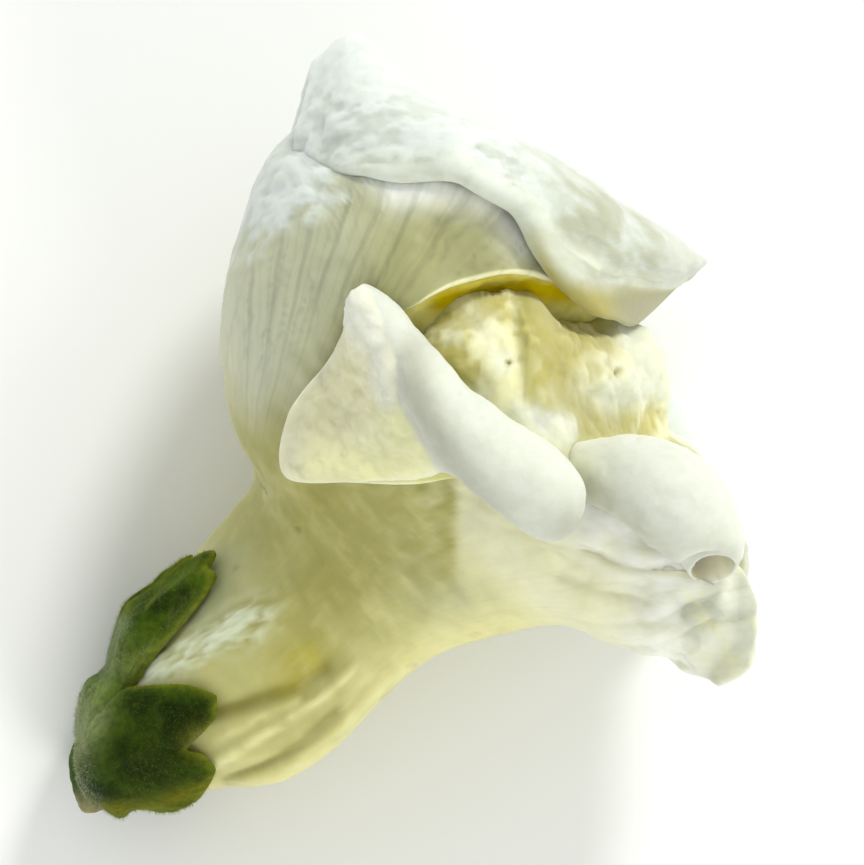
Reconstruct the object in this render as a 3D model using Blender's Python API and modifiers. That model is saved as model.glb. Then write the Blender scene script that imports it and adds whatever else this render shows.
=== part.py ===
"""Snapdragon bloom, picked and lying on its side: corolla, calyx, pistil and four stamens.

Lists of points are millimetres. Z is up and the ground is at GROUND. Seen from above, X runs to
the right, from the calyx to the lips, and Y runs up, from the lower lip to the crest of the hood.
"""
import math
import bmesh
import bpy
import numpy as np
from mathutils import Matrix, Vector

MM = 0.001
COLLECTION = "snapdragon_flower"

# Height that the ground cuts the petals off at: the bloom lies on three small flats
GROUND = -14.4
# What comes this near the ground is made level with it
FLAT_LEVEL = 0.08

PETAL_THICKNESS = 0.7
SEPAL_THICKNESS = 0.8
PETAL_TO_SEPAL = 0.48

# Shortest edge that joining may leave
JOIN_SHORTEST = 0.002

# Axes of the flower: forward out of the mouth, across to the far side, dorsal
FORWARD = np.array((0.66, 0.594, 0.46))
ACROSS = np.array((0.62, -0.24, -0.75))
DORSAL = np.array((-0.404, 0.797, -0.449))

# Tube stations from the receptacle to the throat: centre, direction of the upper side in
# degrees, half height and half depth
TUBE = (
    ((-15.1, -15.55, -9.8), 105, 1.9, 1.9),
    ((-13.9, -14.8, -9.3), 103, 3.4, 3.6),
    ((-10.8, -12.6, -8.1), 99, 5.3, 5.0),
    ((-7.3, -10.5, -6.9), 106, 6.5, 5.6),
    ((-4.2, -7.1, -5.4), 126, 6.2, 5.6),
)
# A ring has twelve points, from the side of the near mouth corner over the back
RING_POINTS = 12
DORSAL_TURN = 27.0

# Rings of the two lips, each from the near mouth corner over the hood to the far corner, and
# back along the lower lip
LIP_ROOTS = (
    (-6.3, -1.8, 0.6), (-8.6, 0.2, -1.6), (-9.2, 2.2, -5.2), (-7.6, 2.6, -9.2),
    (-4.8, 1.6, -12.0), (-1.2, -0.6, -12.8), (1.8, -3.2, -12.0), (3.6, -6.2, -9.6),
    (4.2, -9.0, -6.2), (3.2, -10.2, -2.6), (0.7, -8.5, 0.6), (-2.7, -5.1, 1.5))
LIP_LOWER = (
    (-5.2, 1.0, 3.0), (-8.0, 5.6, 1.4), (-9.1, 8.0, -3.4), (-6.9, 10.8, -8.4),
    (-1.2, 9.6, -14.1), (4.2, 5.4, -13.9), (6.4, 0.4, -11.4), (8.6, -3.6, -9.6),
    (9.2, -7.6, -6.2), (7.4, -9.5, -2.2), (3.8, -7.6, 1.8), (-1.0, -3.2, 3.4))
LIP_UPPER = (
    (-4.2, 2.4, 3.8), (-4.8, 9.6, 4.2), (-6.1, 14.4, -0.8), (-0.6, 15.6, -4.0),
    (6.0, 13.0, -7.2), (10.0, 8.2, -9.6), (8.8, 2.2, -9.4), (12.6, -3.0, -9.0),
    (12.2, -9.6, -5.0), (11.4, -10.7, -0.2), (8.0, -6.9, 2.6), (1.2, -1.6, 4.4))
LIP_FRONT = (
    (-3.4, 3.2, 4.3), (-1.6, 8.4, 5.4), (0.2, 12.2, 4.4), (4.6, 12.0, 2.6),
    (8.8, 10.0, -0.2), (11.4, 7.2, -4.6), (9.6, 2.8, -7.8), (14.8, -2.4, -7.2),
    (13.8, -12.0, -2.6), (14.8, -9.4, 1.2), (11.4, -6.6, 3.0), (2.4, -0.4, 4.8))
LIP_EDGE = (
    (-2.6, 4.2, 4.6), (0.4, 6.4, 5.4), (3.6, 7.6, 4.6), (6.6, 7.5, 2.6),
    (9.0, 6.8, 0.0), (10.4, 5.6, -3.4), (9.8, 3.8, -6.2), (16.5, -3.2, -4.8),
    (15.3, -12.9, -0.8), (17.0, -9.0, 0.6), (14.6, -5.6, 2.6), (3.0, 0.2, 4.8))
SHELL_COLUMNS = 40
TUBE_ROWS = 10
LIP_ROWS = 14

# Waves of the margins: height in millimetres, how many, and how fast they fade from the margin
LIP_RIPPLE = (0.28, 9)
LOBES_RIPPLE = (0.3, 5)
RIPPLE_POWER = 8

# Ribs along the tube: turn in degrees, height and half width in degrees
TUBE_RIBS = ((-47, 0.45, 7), (-66, 0.45, 7), (-28, -0.35, 9), (8, 0.3, 9), (150, 0.3, 9),
             (-150, 0.45, 8), (-125, 0.45, 7))
# Station at which the ribs are highest, and how far they run both ways
RIBS_AT = 3.0
RIBS_SPREAD = 0.8

# Turned-back lobes of the upper lip, from the left tip to the right tip
LOBES_BACK = ((-6.2, 12.8, -5.0), (-4.0, 11.8, -9.6), (0.4, 14.0, -10.2), (5.2, 9.6, -14.6),
              (11.2, 6.8, -11.2), (14.0, 7.8, -6.8))
LOBES_BACK_HIGH = ((-5.4, 16.6, -3.4), (-3.2, 16.4, -6.6), (0.6, 15.9, -6.4), (5.8, 12.4, -9.8),
                   (11.4, 9.4, -8.8), (14.4, 8.4, -6.2))
LOBES_CREST = ((-4.7, 18.4, -1.4), (-2.9, 19.5, -1.6), (0.1, 16.9, -2.0), (4.9, 14.5, -2.8),
               (10.1, 11.3, -4.2), (14.6, 8.5, -5.4))
LOBES_FACE = ((-5.3, 15.9, 0.2), (-2.8, 16.4, 2.6), (1.2, 15.4, 3.6), (5.6, 13.6, 3.4),
              (10.2, 10.4, 0.6), (14.2, 8.3, -4.4))
LOBES_EDGE = ((-6.4, 12.9, 0.6), (-2.2, 13.3, 5.2), (2.8, 13.4, 6.2), (6.3, 11.2, 5.2),
              (8.6, 8.2, 3.0), (13.6, 7.5, -3.6))
LOBES_ROWS = 11
LOBES_COLUMNS = 20

# Outrolled lobes of the lower lip: root line, axis of the roll and its radius
NEAR_ROOT = ((-2.9, 6.8, 5.4), (-3.4, 5.2, 5.2), (-4.3, 3.5, 4.8), (-6.3, 0.8, 3.0),
             (-6.5, -2.3, 2.8), (-3.2, -2.6, 4.4), (0.0, -2.7, 5.4), (2.6, -3.2, 5.2),
             (5.2, -5.4, 4.2), (7.6, -6.5, 3.6))
NEAR_AXIS = ((-2.5, 6.3, 6.4), (-1.8, 5.2, 6.8), (-1.0, 4.1, 7.0), (0.0, 2.9, 7.2),
             (0.9, 1.7, 7.4), (1.9, 0.4, 7.6), (3.0, -0.6, 7.6), (4.3, -1.6, 7.5),
             (6.2, -3.0, 7.1), (7.5, -5.0, 6.4))
NEAR_RADIUS = (0.8, 1.05, 1.15, 1.25, 1.5, 1.8, 2.0, 2.15, 2.1, 1.5)
MIDDLE_ROOT = ((7.6, -2.0, 3.2), (8.0, -3.4, 3.2), (8.4, -4.8, 3.0), (9.4, -6.3, 2.9),
               (11.4, -7.0, 2.9), (13.4, -7.1, 2.7), (14.9, -7.7, 2.2))
MIDDLE_AXIS = ((7.9, -1.2, 3.6), (9.2, -1.9, 4.4), (10.5, -2.3, 5.0), (12.0, -2.9, 5.2),
               (13.5, -4.1, 5.2), (14.6, -5.6, 4.7), (14.9, -7.1, 4.2))
MIDDLE_RADIUS = (0.9, 1.5, 2.0, 2.4, 2.4, 1.8, 1.15)
FAR_ROOT = ((8.6, 2.4, -8.4), (10.4, 0.6, -9.2), (10.6, -2.0, -9.6), (10.4, -4.6, -9.0),
            (10.6, -6.6, -7.6))
FAR_AXIS = ((9.8, 3.4, -8.0), (11.4, 1.4, -10.2), (12.4, -1.2, -11.9), (12.6, -4.2, -12.4),
            (11.8, -7.0, -11.2))
FAR_RADIUS = (0.7, 1.4, 1.9, 2.0, 1.5)
NEAR_ROWS = 20
MIDDLE_ROWS = 13
FAR_ROWS = 9
ROLL_START = -80
ROLL_END = 215
ROLL_STEPS = 12
ROLL_LEAD = 4

# Palate: centre of its hump, radius, and the bosses on both sides of the furrow
PALATE_CENTRE = np.array((6.0, 1.5, -1.2))
PALATE_RADIUS = 3.9
PALATE_REACH = (-8.4, 7.6)
PALATE_SHOULDER = 5.4
PALATE_TAPER = 1.2
BOSS_SIDE = 4.1
BOSS_WIDTH = 2.1
BOSS_HEIGHT = 1.4
BOSS_LEAN = 0.5
PALATE_TURNS = (165, -35)
PALATE_ROWS = 12
FACE_ROWS = 5
PALATE_COLUMNS = 18
# Where the face of the lower lip ends under its rolled lobes, from the near side to the far
FACE_EDGE = ((1.4, 0.6, 5.2), (4.8, -2.6, 4.4), (9.6, -5.2, 2.8), (13.0, -7.2, 1.2),
             (13.6, -9.2, -1.6), (13.6, -5.2, -6.2), (10.6, 1.6, -8.4))

# Sepals: turn of the middle in degrees, tube station that its tip reaches, half width in degrees
SEPALS = ((47, 2.35, 38), (-18, 2.1, 34), (-68, 1.85, 30), (-150, 2.0, 42), (118, 2.3, 36))
SEPAL_NOTCH = 1.0
SEPAL_BLUNTNESS = 1.7
CALYX_BOTTOM = (((-16.5, -16.5, -10.4), 105, 0.8, 0.8), ((-15.9, -16.1, -10.1), 105, 3.1, 3.1))
# Tube stations that the cup follows
CALYX_LEVELS = (0.7, 1.3, 1.9, 2.5)
# Step for reading slopes of the tube, in stations
SLOPE_STEP = 0.05
CALYX_COLUMNS = 44
CALYX_ROWS = 8
STALK = ((-16.1, -16.3, -10.2), (-16.3, -16.9, -10.4), (-16.2, -18.0, -10.5), (-15.9, -18.9, -10.8))
STALK_RADIUS = (1.0, 1.0, 1.0, 1.1)
STALK_ROWS = 8
STALK_SIDES = 14

# Pistil: ovary, style and stigma, up the back of the tube and under the hood
PISTIL = ((-15.7, -16.0, -10.05), (-14.5, -15.15, -9.5), (-13.2, -13.8, -8.9),
          (-11.6, -12.2, -8.7), (-8.6, -8.4, -8.7), (-6.2, -3.6, -7.9), (-5.8, 2.0, -7.0),
          (-4.6, 7.0, -5.6), (-2.0, 10.4, -4.0), (0.6, 11.0, -2.6), (1.6, 10.8, -2.2))
PISTIL_ROWS = 30
THREAD_SIDES = 8
PISTIL_RADIUS = (0.45, 1.15, 1.05, 0.4, 0.3, 0.28, 0.28, 0.28, 0.28, 0.34, 0.5)

# Stamens: column of the shell that each follows, ring that it reaches
STAMENS = ((1.5, 6.7), (4.6, 6.7), (0.6, 6.4), (5.4, 6.4))
STAMEN_START = 1.3
STAMEN_ROWS = 20
STAMEN_INSET = (0.34, 0.34, 0.34, 0.36, 0.38, 0.4)
STAMEN_RADIUS = (0.3, 0.3, 0.3, 0.3, 0.3, 0.3, 0.7, 0.75, 0.35)


def steps(first, last, count):
    return np.linspace(first, last, count)


def spline(points, at, closed=False):
    """Smooth curve through points, read at places counted in points."""
    points = np.asarray(points, dtype=float)
    count = len(points)
    at = np.asarray(at, dtype=float)
    cell = np.floor(at).astype(int)
    if closed:
        ring = points[np.arange(-1, count + 3) % count]
    else:
        cell = np.clip(cell, 0, count - 2)
        ring = np.concatenate(([2 * points[0] - points[1]], points,
                               [2 * points[-1] - points[-2]]))
    part = (at - cell).reshape((-1,) + (1,) * (points.ndim - 1))
    a, b, c, d = (ring[cell + step] for step in range(4))
    return 0.5 * (2 * b + (c - a) * part + (2 * a - 5 * b + 4 * c - d) * part ** 2
                  + (3 * b - a - 3 * c + d) * part ** 3)


def net(curves, rows, columns, closed=False):
    """Grid over a family of curves: rows are read between curves, columns along them."""
    levels = spline(curves, rows)
    return np.swapaxes(spline(np.swapaxes(levels, 0, 1), columns, closed), 0, 1)


def material(name, colour, roughness):
    mat = bpy.data.materials.get(name) or bpy.data.materials.new(name)
    mat.use_nodes = True
    surface = mat.node_tree.nodes["Principled BSDF"]
    surface.inputs["Base Color"].default_value = (*colour, 1)
    surface.inputs["Roughness"].default_value = roughness
    surface.inputs["Metallic"].default_value = 0
    return mat


def add_object(name, mesh, mat=None):
    obj = bpy.data.objects.new(name, mesh)
    bpy.data.collections[COLLECTION].objects.link(obj)
    if mat:
        mesh.materials.append(mat)
    return obj


def grid_mesh(name, grid, closed=False, capped=False):
    """Mesh of a grid of points, split into triangles so that both faces of a petal match."""
    rows, columns = grid.shape[:2]
    bm = bmesh.new()
    verts = [[bm.verts.new(Vector(p) * MM) for p in row] for row in grid]
    for i in range(rows - 1):
        for j in range(columns if closed else columns - 1):
            k = (j + 1) % columns
            a, b, c, d = verts[i][j], verts[i][k], verts[i + 1][k], verts[i + 1][j]
            bm.faces.new((a, b, c))
            bm.faces.new((a, c, d))
    if capped:
        bm.faces.new(verts[0][::-1])
        bm.faces.new(verts[-1])
        bmesh.ops.recalc_face_normals(bm, faces=bm.faces)
    mesh = bpy.data.meshes.new(name)
    bm.to_mesh(mesh)
    bm.free()
    return mesh


def petal(name, grid, closed=False, thickness=PETAL_THICKNESS):
    """Petal of even thickness round a grid of points, flat where it meets the ground."""
    grid = grid.copy()
    grid[..., 2] = np.maximum(grid[..., 2], GROUND + thickness / 2)
    obj = add_object(name, grid_mesh(name, grid, closed))
    solid = obj.modifiers.new("thickness", "SOLIDIFY")
    solid.thickness = thickness * MM
    solid.offset = 0
    return obj


def rippled(grid, height, waves):
    """Grid whose last rows wave in and out, as the margin of a petal does."""
    rows, columns = grid.shape[:2]
    normal = np.cross(np.gradient(grid, axis=1), np.gradient(grid, axis=0))
    normal /= np.linalg.norm(normal, axis=2, keepdims=True)
    grow = steps(0, 1, rows) ** RIPPLE_POWER
    wave = np.sin(waves * math.tau * np.arange(columns) / columns)
    return grid + height * (grow[:, None] * wave[None, :])[..., None] * normal


def station_rings(stations):
    """Rings of points round stations of a tube."""
    rings = []
    for centre, direction, half_height, half_depth in stations:
        up = np.array((math.cos(math.radians(direction)), math.sin(math.radians(direction)), 0))
        ring = []
        for i in range(RING_POINTS):
            turn = math.radians(DORSAL_TURN + 360 * i / RING_POINTS)
            ring.append(np.array(centre) + half_depth * math.cos(turn) * np.array((0, 0, 1.0))
                        + half_height * math.sin(turn) * up)
        rings.append(ring)
    return rings


def shell_rings():
    return station_rings(TUBE) + [LIP_ROOTS, LIP_LOWER, LIP_UPPER, LIP_FRONT, LIP_EDGE]


def outward(grid):
    """Unit directions away from the axis of each ring of a closed grid."""
    away = grid - grid.mean(axis=1, keepdims=True)
    return away / np.linalg.norm(away, axis=2, keepdims=True)


def angle_between(turn, other):
    return (turn - other + 180) % 360 - 180


def ribs(levels, turns):
    """Height of the tube's ribs at each station level and turn."""
    along = np.exp(-((levels - RIBS_AT) / RIBS_SPREAD) ** 2)
    across = sum(height * np.exp(-(angle_between(turns, turn) / width) ** 2)
                 for turn, height, width in TUBE_RIBS)
    return along[:, None] * across[None, :]


def shell_grid():
    """Tube, hood and skirt of the lower lip as one annular sheet from base to edge."""
    rings = np.array(shell_rings())
    throat = len(TUBE) - 1
    rows = np.concatenate((steps(0, throat, TUBE_ROWS)[:-1],
                           steps(throat, len(rings) - 1, LIP_ROWS)))
    columns = np.arange(SHELL_COLUMNS) * RING_POINTS / SHELL_COLUMNS
    grid = net(rings, rows, columns, closed=True)
    turns = DORSAL_TURN + columns * 360 / RING_POINTS
    grid += outward(grid) * ribs(rows, turns)[..., None]
    return rippled(grid, *LIP_RIPPLE)


def upper_lobes_grid():
    guides = np.array((LOBES_BACK, LOBES_BACK_HIGH, LOBES_CREST, LOBES_FACE, LOBES_EDGE))
    grid = net(guides, steps(0, len(guides) - 1, LOBES_ROWS),
               steps(0, len(LOBES_CREST) - 1, LOBES_COLUMNS))
    return rippled(grid, *LOBES_RIPPLE)


def rolled_lobe_grid(root, axis, radius, side, rows):
    """Lobe that leaves its root line and rolls outwards round an axis."""
    at = steps(0, len(axis) - 1, rows)
    root = spline(root, at)
    centre = spline(axis, at)
    radius = spline(np.array(radius)[:, None], at)[:, 0]
    turns = np.radians(steps(ROLL_START, ROLL_END, ROLL_STEPS))
    out = np.array((0, 0, side))
    grid = []
    for i in range(rows):
        ahead = centre[min(i + 1, rows - 1)] - centre[max(i - 1, 0)]
        right = np.array((-ahead[1], ahead[0], 0.0))
        right /= np.linalg.norm(right)
        curl = [centre[i] + radius[i] * (math.cos(t) * right + math.sin(t) * out) for t in turns]
        lead = [root[i] + (curl[0] - root[i]) * k / ROLL_LEAD for k in range(ROLL_LEAD)]
        grid.append(lead + curl)
    return np.array(grid)


def palate_grid():
    """Hump that closes the throat, its bosses and furrow, and the face of the lower lip."""
    sides = steps(*PALATE_REACH, PALATE_COLUMNS)
    grid = []
    for turn in np.radians(steps(*PALATE_TURNS, PALATE_ROWS)):
        line = []
        for side in sides:
            boss = sum(math.exp(-((side - s * BOSS_SIDE) / BOSS_WIDTH) ** 2) for s in (-1, 1))
            radius = PALATE_RADIUS + BOSS_HEIGHT * boss * max(0.0, math.sin(turn + BOSS_LEAN))
            radius -= PALATE_TAPER * max(0.0, abs(side) - PALATE_SHOULDER)
            line.append(PALATE_CENTRE + radius * (math.cos(turn) * FORWARD
                        + math.sin(turn) * DORSAL) + side * ACROSS)
        grid.append(np.array(line))
    edge = spline(FACE_EDGE, steps(0, len(FACE_EDGE) - 1, PALATE_COLUMNS))
    start, before = grid[-1], grid[-2]
    for k in range(1, FACE_ROWS + 1):
        part = k / FACE_ROWS
        straight = start + (start - before) * k
        grid.append(straight * (1 - part) ** 2 + edge * (1 - (1 - part) ** 2))
    return np.array(grid)


def keep_largest_body(mesh):
    """Drops loose scraps, and the walls of hollows that joining has sealed."""
    bm = bmesh.new()
    bm.from_mesh(mesh)
    between = [v for v in bm.verts if len(v.link_edges) == 2]
    bmesh.ops.dissolve_verts(bm, verts=between)
    bmesh.ops.triangulate(bm, faces=bm.faces)
    bmesh.ops.dissolve_degenerate(bm, dist=JOIN_SHORTEST * MM, edges=bm.edges)
    bodies = []
    left = set(bm.faces)
    while left:
        body = {left.pop()}
        rim = list(body)
        while rim:
            edges = [edge for edge in rim.pop().edges if len(edge.link_faces) == 2]
            near = {face for edge in edges for face in edge.link_faces} & left
            left -= near
            body |= near
            rim.extend(near)
        bodies.append(body)
    bodies.sort(key=len)
    lost = [face for body in bodies[:-1] for face in body]
    bmesh.ops.delete(bm, geom=lost, context="FACES")
    bm.to_mesh(mesh)
    bm.free()


def joined(name, pieces, mat, solver="EXACT"):
    """One solid from overlapping ones."""
    base, others = pieces[0], pieces[1:]
    tools = bpy.data.collections.new(name + "_tools")
    bpy.context.scene.collection.children.link(tools)
    for piece in others:
        bpy.data.collections[COLLECTION].objects.unlink(piece)
        tools.objects.link(piece)
    union = base.modifiers.new("join", "BOOLEAN")
    union.operation = "UNION"
    union.operand_type = "COLLECTION"
    union.collection = tools
    union.solver = solver
    graph = bpy.context.evaluated_depsgraph_get()
    mesh = bpy.data.meshes.new_from_object(base.evaluated_get(graph))
    for piece in pieces:
        bpy.data.objects.remove(piece)
    bpy.data.collections.remove(tools)
    keep_largest_body(mesh)
    mesh.name = name
    mesh.materials.clear()
    return add_object(name, mesh, mat)


def corolla():
    pieces = [
        petal("shell", shell_grid(), closed=True),
        petal("upper_lobes", upper_lobes_grid()),
        petal("near_lobe", rolled_lobe_grid(NEAR_ROOT, NEAR_AXIS, NEAR_RADIUS, 1, NEAR_ROWS)),
        petal("middle_lobe",
              rolled_lobe_grid(MIDDLE_ROOT, MIDDLE_AXIS, MIDDLE_RADIUS, 1, MIDDLE_ROWS)),
        petal("far_lobe", rolled_lobe_grid(FAR_ROOT, FAR_AXIS, FAR_RADIUS, -1, FAR_ROWS)),
        petal("palate", palate_grid()),
    ]
    mat = material("white_petal", (0.9, 0.91, 0.82), 0.55)
    return joined("corolla", pieces, mat, solver="MANIFOLD")


def calyx_rings():
    """Rings of the cup: its bottom, and rings that stand clear of the tube at CALYX_LEVELS."""
    rings = np.array(shell_rings())
    columns = np.arange(RING_POINTS)
    levels = np.array(CALYX_LEVELS)

    def wall(up=0.0, on=0.0):
        return net(rings, levels + up, (columns + on) % RING_POINTS, closed=True)

    normal = np.cross(wall(up=SLOPE_STEP) - wall(up=-SLOPE_STEP),
                      wall(on=SLOPE_STEP) - wall(on=-SLOPE_STEP))
    normal /= np.linalg.norm(normal, axis=2, keepdims=True)
    normal *= np.sign((normal * outward(wall())).sum(axis=2, keepdims=True))
    clear = PETAL_THICKNESS / 2 + PETAL_TO_SEPAL + SEPAL_THICKNESS / 2
    clear = clear + ribs(levels, DORSAL_TURN + columns * 360 / RING_POINTS)
    return np.concatenate((station_rings(CALYX_BOTTOM), wall() + normal * clear[..., None]))


def calyx_grid():
    """Cup whose rim rises into five sepals."""
    rings = calyx_rings()
    levels = np.array(CALYX_LEVELS)
    first = len(CALYX_BOTTOM)
    grid = []
    for turn in np.arange(CALYX_COLUMNS) * 360 / CALYX_COLUMNS:
        tip = SEPAL_NOTCH
        for middle, reach, half in SEPALS:
            off = abs(angle_between(turn, middle)) / half
            if off < 1:
                tip = max(tip, SEPAL_NOTCH + (reach - SEPAL_NOTCH) * (1 - off ** SEPAL_BLUNTNESS))
        top = np.interp(tip, levels, first + np.arange(len(levels)))
        column = (turn - DORSAL_TURN) / 360 * RING_POINTS % RING_POINTS
        grid.append(net(rings, top * steps(0, 1, CALYX_ROWS), [column], closed=True)[:, 0])
    return np.swapaxes(np.array(grid), 0, 1)


def strand(name, points, radii, rows, sides, mat=None):
    """Solid thread through points, with its own radius at each of them."""
    at = steps(0, len(points) - 1, rows)
    way = spline(points, at)
    radii = spline(np.array(radii, dtype=float)[:, None], at)[:, 0]
    grid = []
    side = np.array((0.0, 0.0, 1.0))
    for i in range(rows):
        ahead = way[min(i + 1, rows - 1)] - way[max(i - 1, 0)]
        ahead /= np.linalg.norm(ahead)
        side = side - ahead * side.dot(ahead)
        side /= np.linalg.norm(side)
        other = np.cross(ahead, side)
        grid.append([way[i] + radii[i] * (math.cos(a) * side + math.sin(a) * other)
                     for a in np.arange(sides) * math.tau / sides])
    return add_object(name, grid_mesh(name, np.array(grid), closed=True, capped=True), mat)


def calyx():
    pieces = [
        petal("sepals", calyx_grid(), closed=True, thickness=SEPAL_THICKNESS),
        strand("stalk", STALK, STALK_RADIUS, STALK_ROWS, STALK_SIDES),
    ]
    return joined("calyx", pieces, material("green_sepal", (0.16, 0.27, 0.06), 0.7))


def pistil():
    mat = material("pale_green", (0.6, 0.7, 0.3), 0.5)
    strand("pistil", PISTIL, PISTIL_RADIUS, PISTIL_ROWS, THREAD_SIDES, mat)


def stamen(index, column, reach):
    rings = np.array(shell_rings())
    levels = steps(STAMEN_START, reach, len(STAMEN_RADIUS))
    wall = net(rings, levels, [column], closed=True)[:, 0]
    middle = spline(rings.mean(axis=1), levels)
    inset = spline(np.array(STAMEN_INSET)[:, None],
                   steps(0, len(STAMEN_INSET) - 1, len(levels)))
    mat = material("pollen_yellow", (0.75, 0.6, 0.15), 0.6)
    strand(f"stamen_{index}", wall + (middle - wall) * inset, STAMEN_RADIUS, STAMEN_ROWS,
           THREAD_SIDES, mat)


def place_on_ground():
    """Brings the bloom's lowest flats to Z = 0 and centres it over the origin."""
    meshes = [obj.data for obj in bpy.data.collections[COLLECTION].objects]
    corners = np.array([vert.co for mesh in meshes for vert in mesh.vertices])
    low, high = corners.min(axis=0), corners.max(axis=0)
    shift = Vector((-(low[0] + high[0]) / 2, -(low[1] + high[1]) / 2, -low[2]))
    for mesh in meshes:
        mesh.transform(Matrix.Translation(shift))
        for vert in mesh.vertices:
            if vert.co.z < FLAT_LEVEL * MM:
                vert.co.z = 0


def main():
    for obj in list(bpy.data.objects):
        bpy.data.objects.remove(obj)
    bpy.context.scene.collection.children.link(bpy.data.collections.new(COLLECTION))
    corolla()
    calyx()
    pistil()
    for index, (column, reach) in enumerate(STAMENS, start=1):
        stamen(index, column, reach)
    place_on_ground()


main()
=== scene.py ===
"""Looks of a picked white snapdragon bloom, lying on a pale floor and seen from above.

Lists of points are millimetres in the frame of the part's own source: X to the right, Y up the
picture and Z towards the eye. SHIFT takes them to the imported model, whose ground is Z = 0.
"""
import math
from types import SimpleNamespace
import bpy
import numpy as np
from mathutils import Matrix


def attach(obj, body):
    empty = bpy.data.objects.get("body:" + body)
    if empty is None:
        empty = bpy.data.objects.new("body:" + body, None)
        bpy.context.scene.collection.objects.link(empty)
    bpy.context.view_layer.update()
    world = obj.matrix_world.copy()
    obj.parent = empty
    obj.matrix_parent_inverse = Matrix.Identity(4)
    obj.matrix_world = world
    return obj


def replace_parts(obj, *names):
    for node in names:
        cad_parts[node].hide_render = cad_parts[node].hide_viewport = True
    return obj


MM = 0.001
SHIFT = np.array((0.0419, -0.0546, 14.4))
GROUND = -14.4

# The photo has PIXELS to a millimetre, and the lists' origin is at PHOTO_ORIGIN in it
PIXELS = 20
PHOTO_ORIGIN = (415, 430)

# The lower lip's own axes: out of the mouth, across it, and up towards the hood
FORWARD = np.array((0.66, 0.594, 0.46))
ACROSS = np.array((0.62, -0.24, -0.75))
DORSAL = np.array((-0.404, 0.797, -0.449))

# Rings of the tube, each a centre, the direction of its height in degrees, half its height and half its
# depth, and then the rings of the lip by their points, from its root to its margin. Point 0 of each is
# DORSAL_TURN degrees round from the eye.
TUBE = (
    ((-15.1, -15.55, -9.8), 105, 1.9, 1.9),
    ((-13.9, -14.8, -9.3), 103, 3.4, 3.6),
    ((-10.8, -12.6, -8.1), 99, 5.3, 5.0),
    ((-7.3, -10.5, -6.9), 106, 6.5, 5.6),
    ((-4.2, -7.1, -5.4), 126, 6.2, 5.6),
)
RING_POINTS = 12
DORSAL_TURN = 27.0
RING_STEP = 360 / RING_POINTS
FINE_COLUMNS = 288
LIP_ROOTS = (
    (-6.3, -1.8, 0.6), (-8.6, 0.2, -1.6), (-9.2, 2.2, -5.2), (-7.6, 2.6, -9.2),
    (-4.8, 1.6, -12.0), (-1.2, -0.6, -12.8), (1.8, -3.2, -12.0), (3.6, -6.2, -9.6),
    (4.2, -9.0, -6.2), (3.2, -10.2, -2.6), (0.7, -8.5, 0.6), (-2.7, -5.1, 1.5))
LIP_LOWER = (
    (-5.2, 1.0, 3.0), (-8.0, 5.6, 1.4), (-9.1, 8.0, -3.4), (-6.9, 10.8, -8.4),
    (-1.2, 9.6, -14.1), (4.2, 5.4, -13.9), (6.4, 0.4, -11.4), (8.6, -3.6, -9.6),
    (9.2, -7.6, -6.2), (7.4, -9.5, -2.2), (3.8, -7.6, 1.8), (-1.0, -3.2, 3.4))
LIP_UPPER = (
    (-4.2, 2.4, 3.8), (-4.8, 9.6, 4.2), (-6.1, 14.4, -0.8), (-0.6, 15.6, -4.0),
    (6.0, 13.0, -7.2), (10.0, 8.2, -9.6), (8.8, 2.2, -9.4), (12.6, -3.0, -9.0),
    (12.2, -9.6, -5.0), (11.4, -10.7, -0.2), (8.0, -6.9, 2.6), (1.2, -1.6, 4.4))
LIP_FRONT = (
    (-3.4, 3.2, 4.3), (-1.6, 8.4, 5.4), (0.2, 12.2, 4.4), (4.6, 12.0, 2.6),
    (8.8, 10.0, -0.2), (11.4, 7.2, -4.6), (9.6, 2.8, -7.8), (14.8, -2.4, -7.2),
    (13.8, -12.0, -2.6), (14.8, -9.4, 1.2), (11.4, -6.6, 3.0), (2.4, -0.4, 4.8))
LIP_EDGE = (
    (-2.6, 4.2, 4.6), (0.4, 6.4, 5.4), (3.6, 7.6, 4.6), (6.6, 7.5, 2.6),
    (9.0, 6.8, 0.0), (10.4, 5.6, -3.4), (9.8, 3.8, -6.2), (16.5, -3.2, -4.8),
    (15.3, -12.9, -0.8), (17.0, -9.0, 0.6), (14.6, -5.6, 2.6), (3.0, 0.2, 4.8))

# Ribs of the tube: degrees round it, height, and width in degrees. RIBS_AT is the level where they are
# highest. A ripple has a height and a number of waves.
TUBE_RIBS = ((-47, 0.45, 7), (-66, 0.45, 7), (-28, -0.35, 9), (8, 0.3, 9), (150, 0.3, 9),
             (-150, 0.45, 8), (-125, 0.45, 7))
RIBS_AT = 3.0
RIBS_SPREAD = 0.8
LIP_RIPPLE = (0.28, 9)
LOBES_RIPPLE = (0.3, 5)
RIPPLE_POWER = 8

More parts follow.
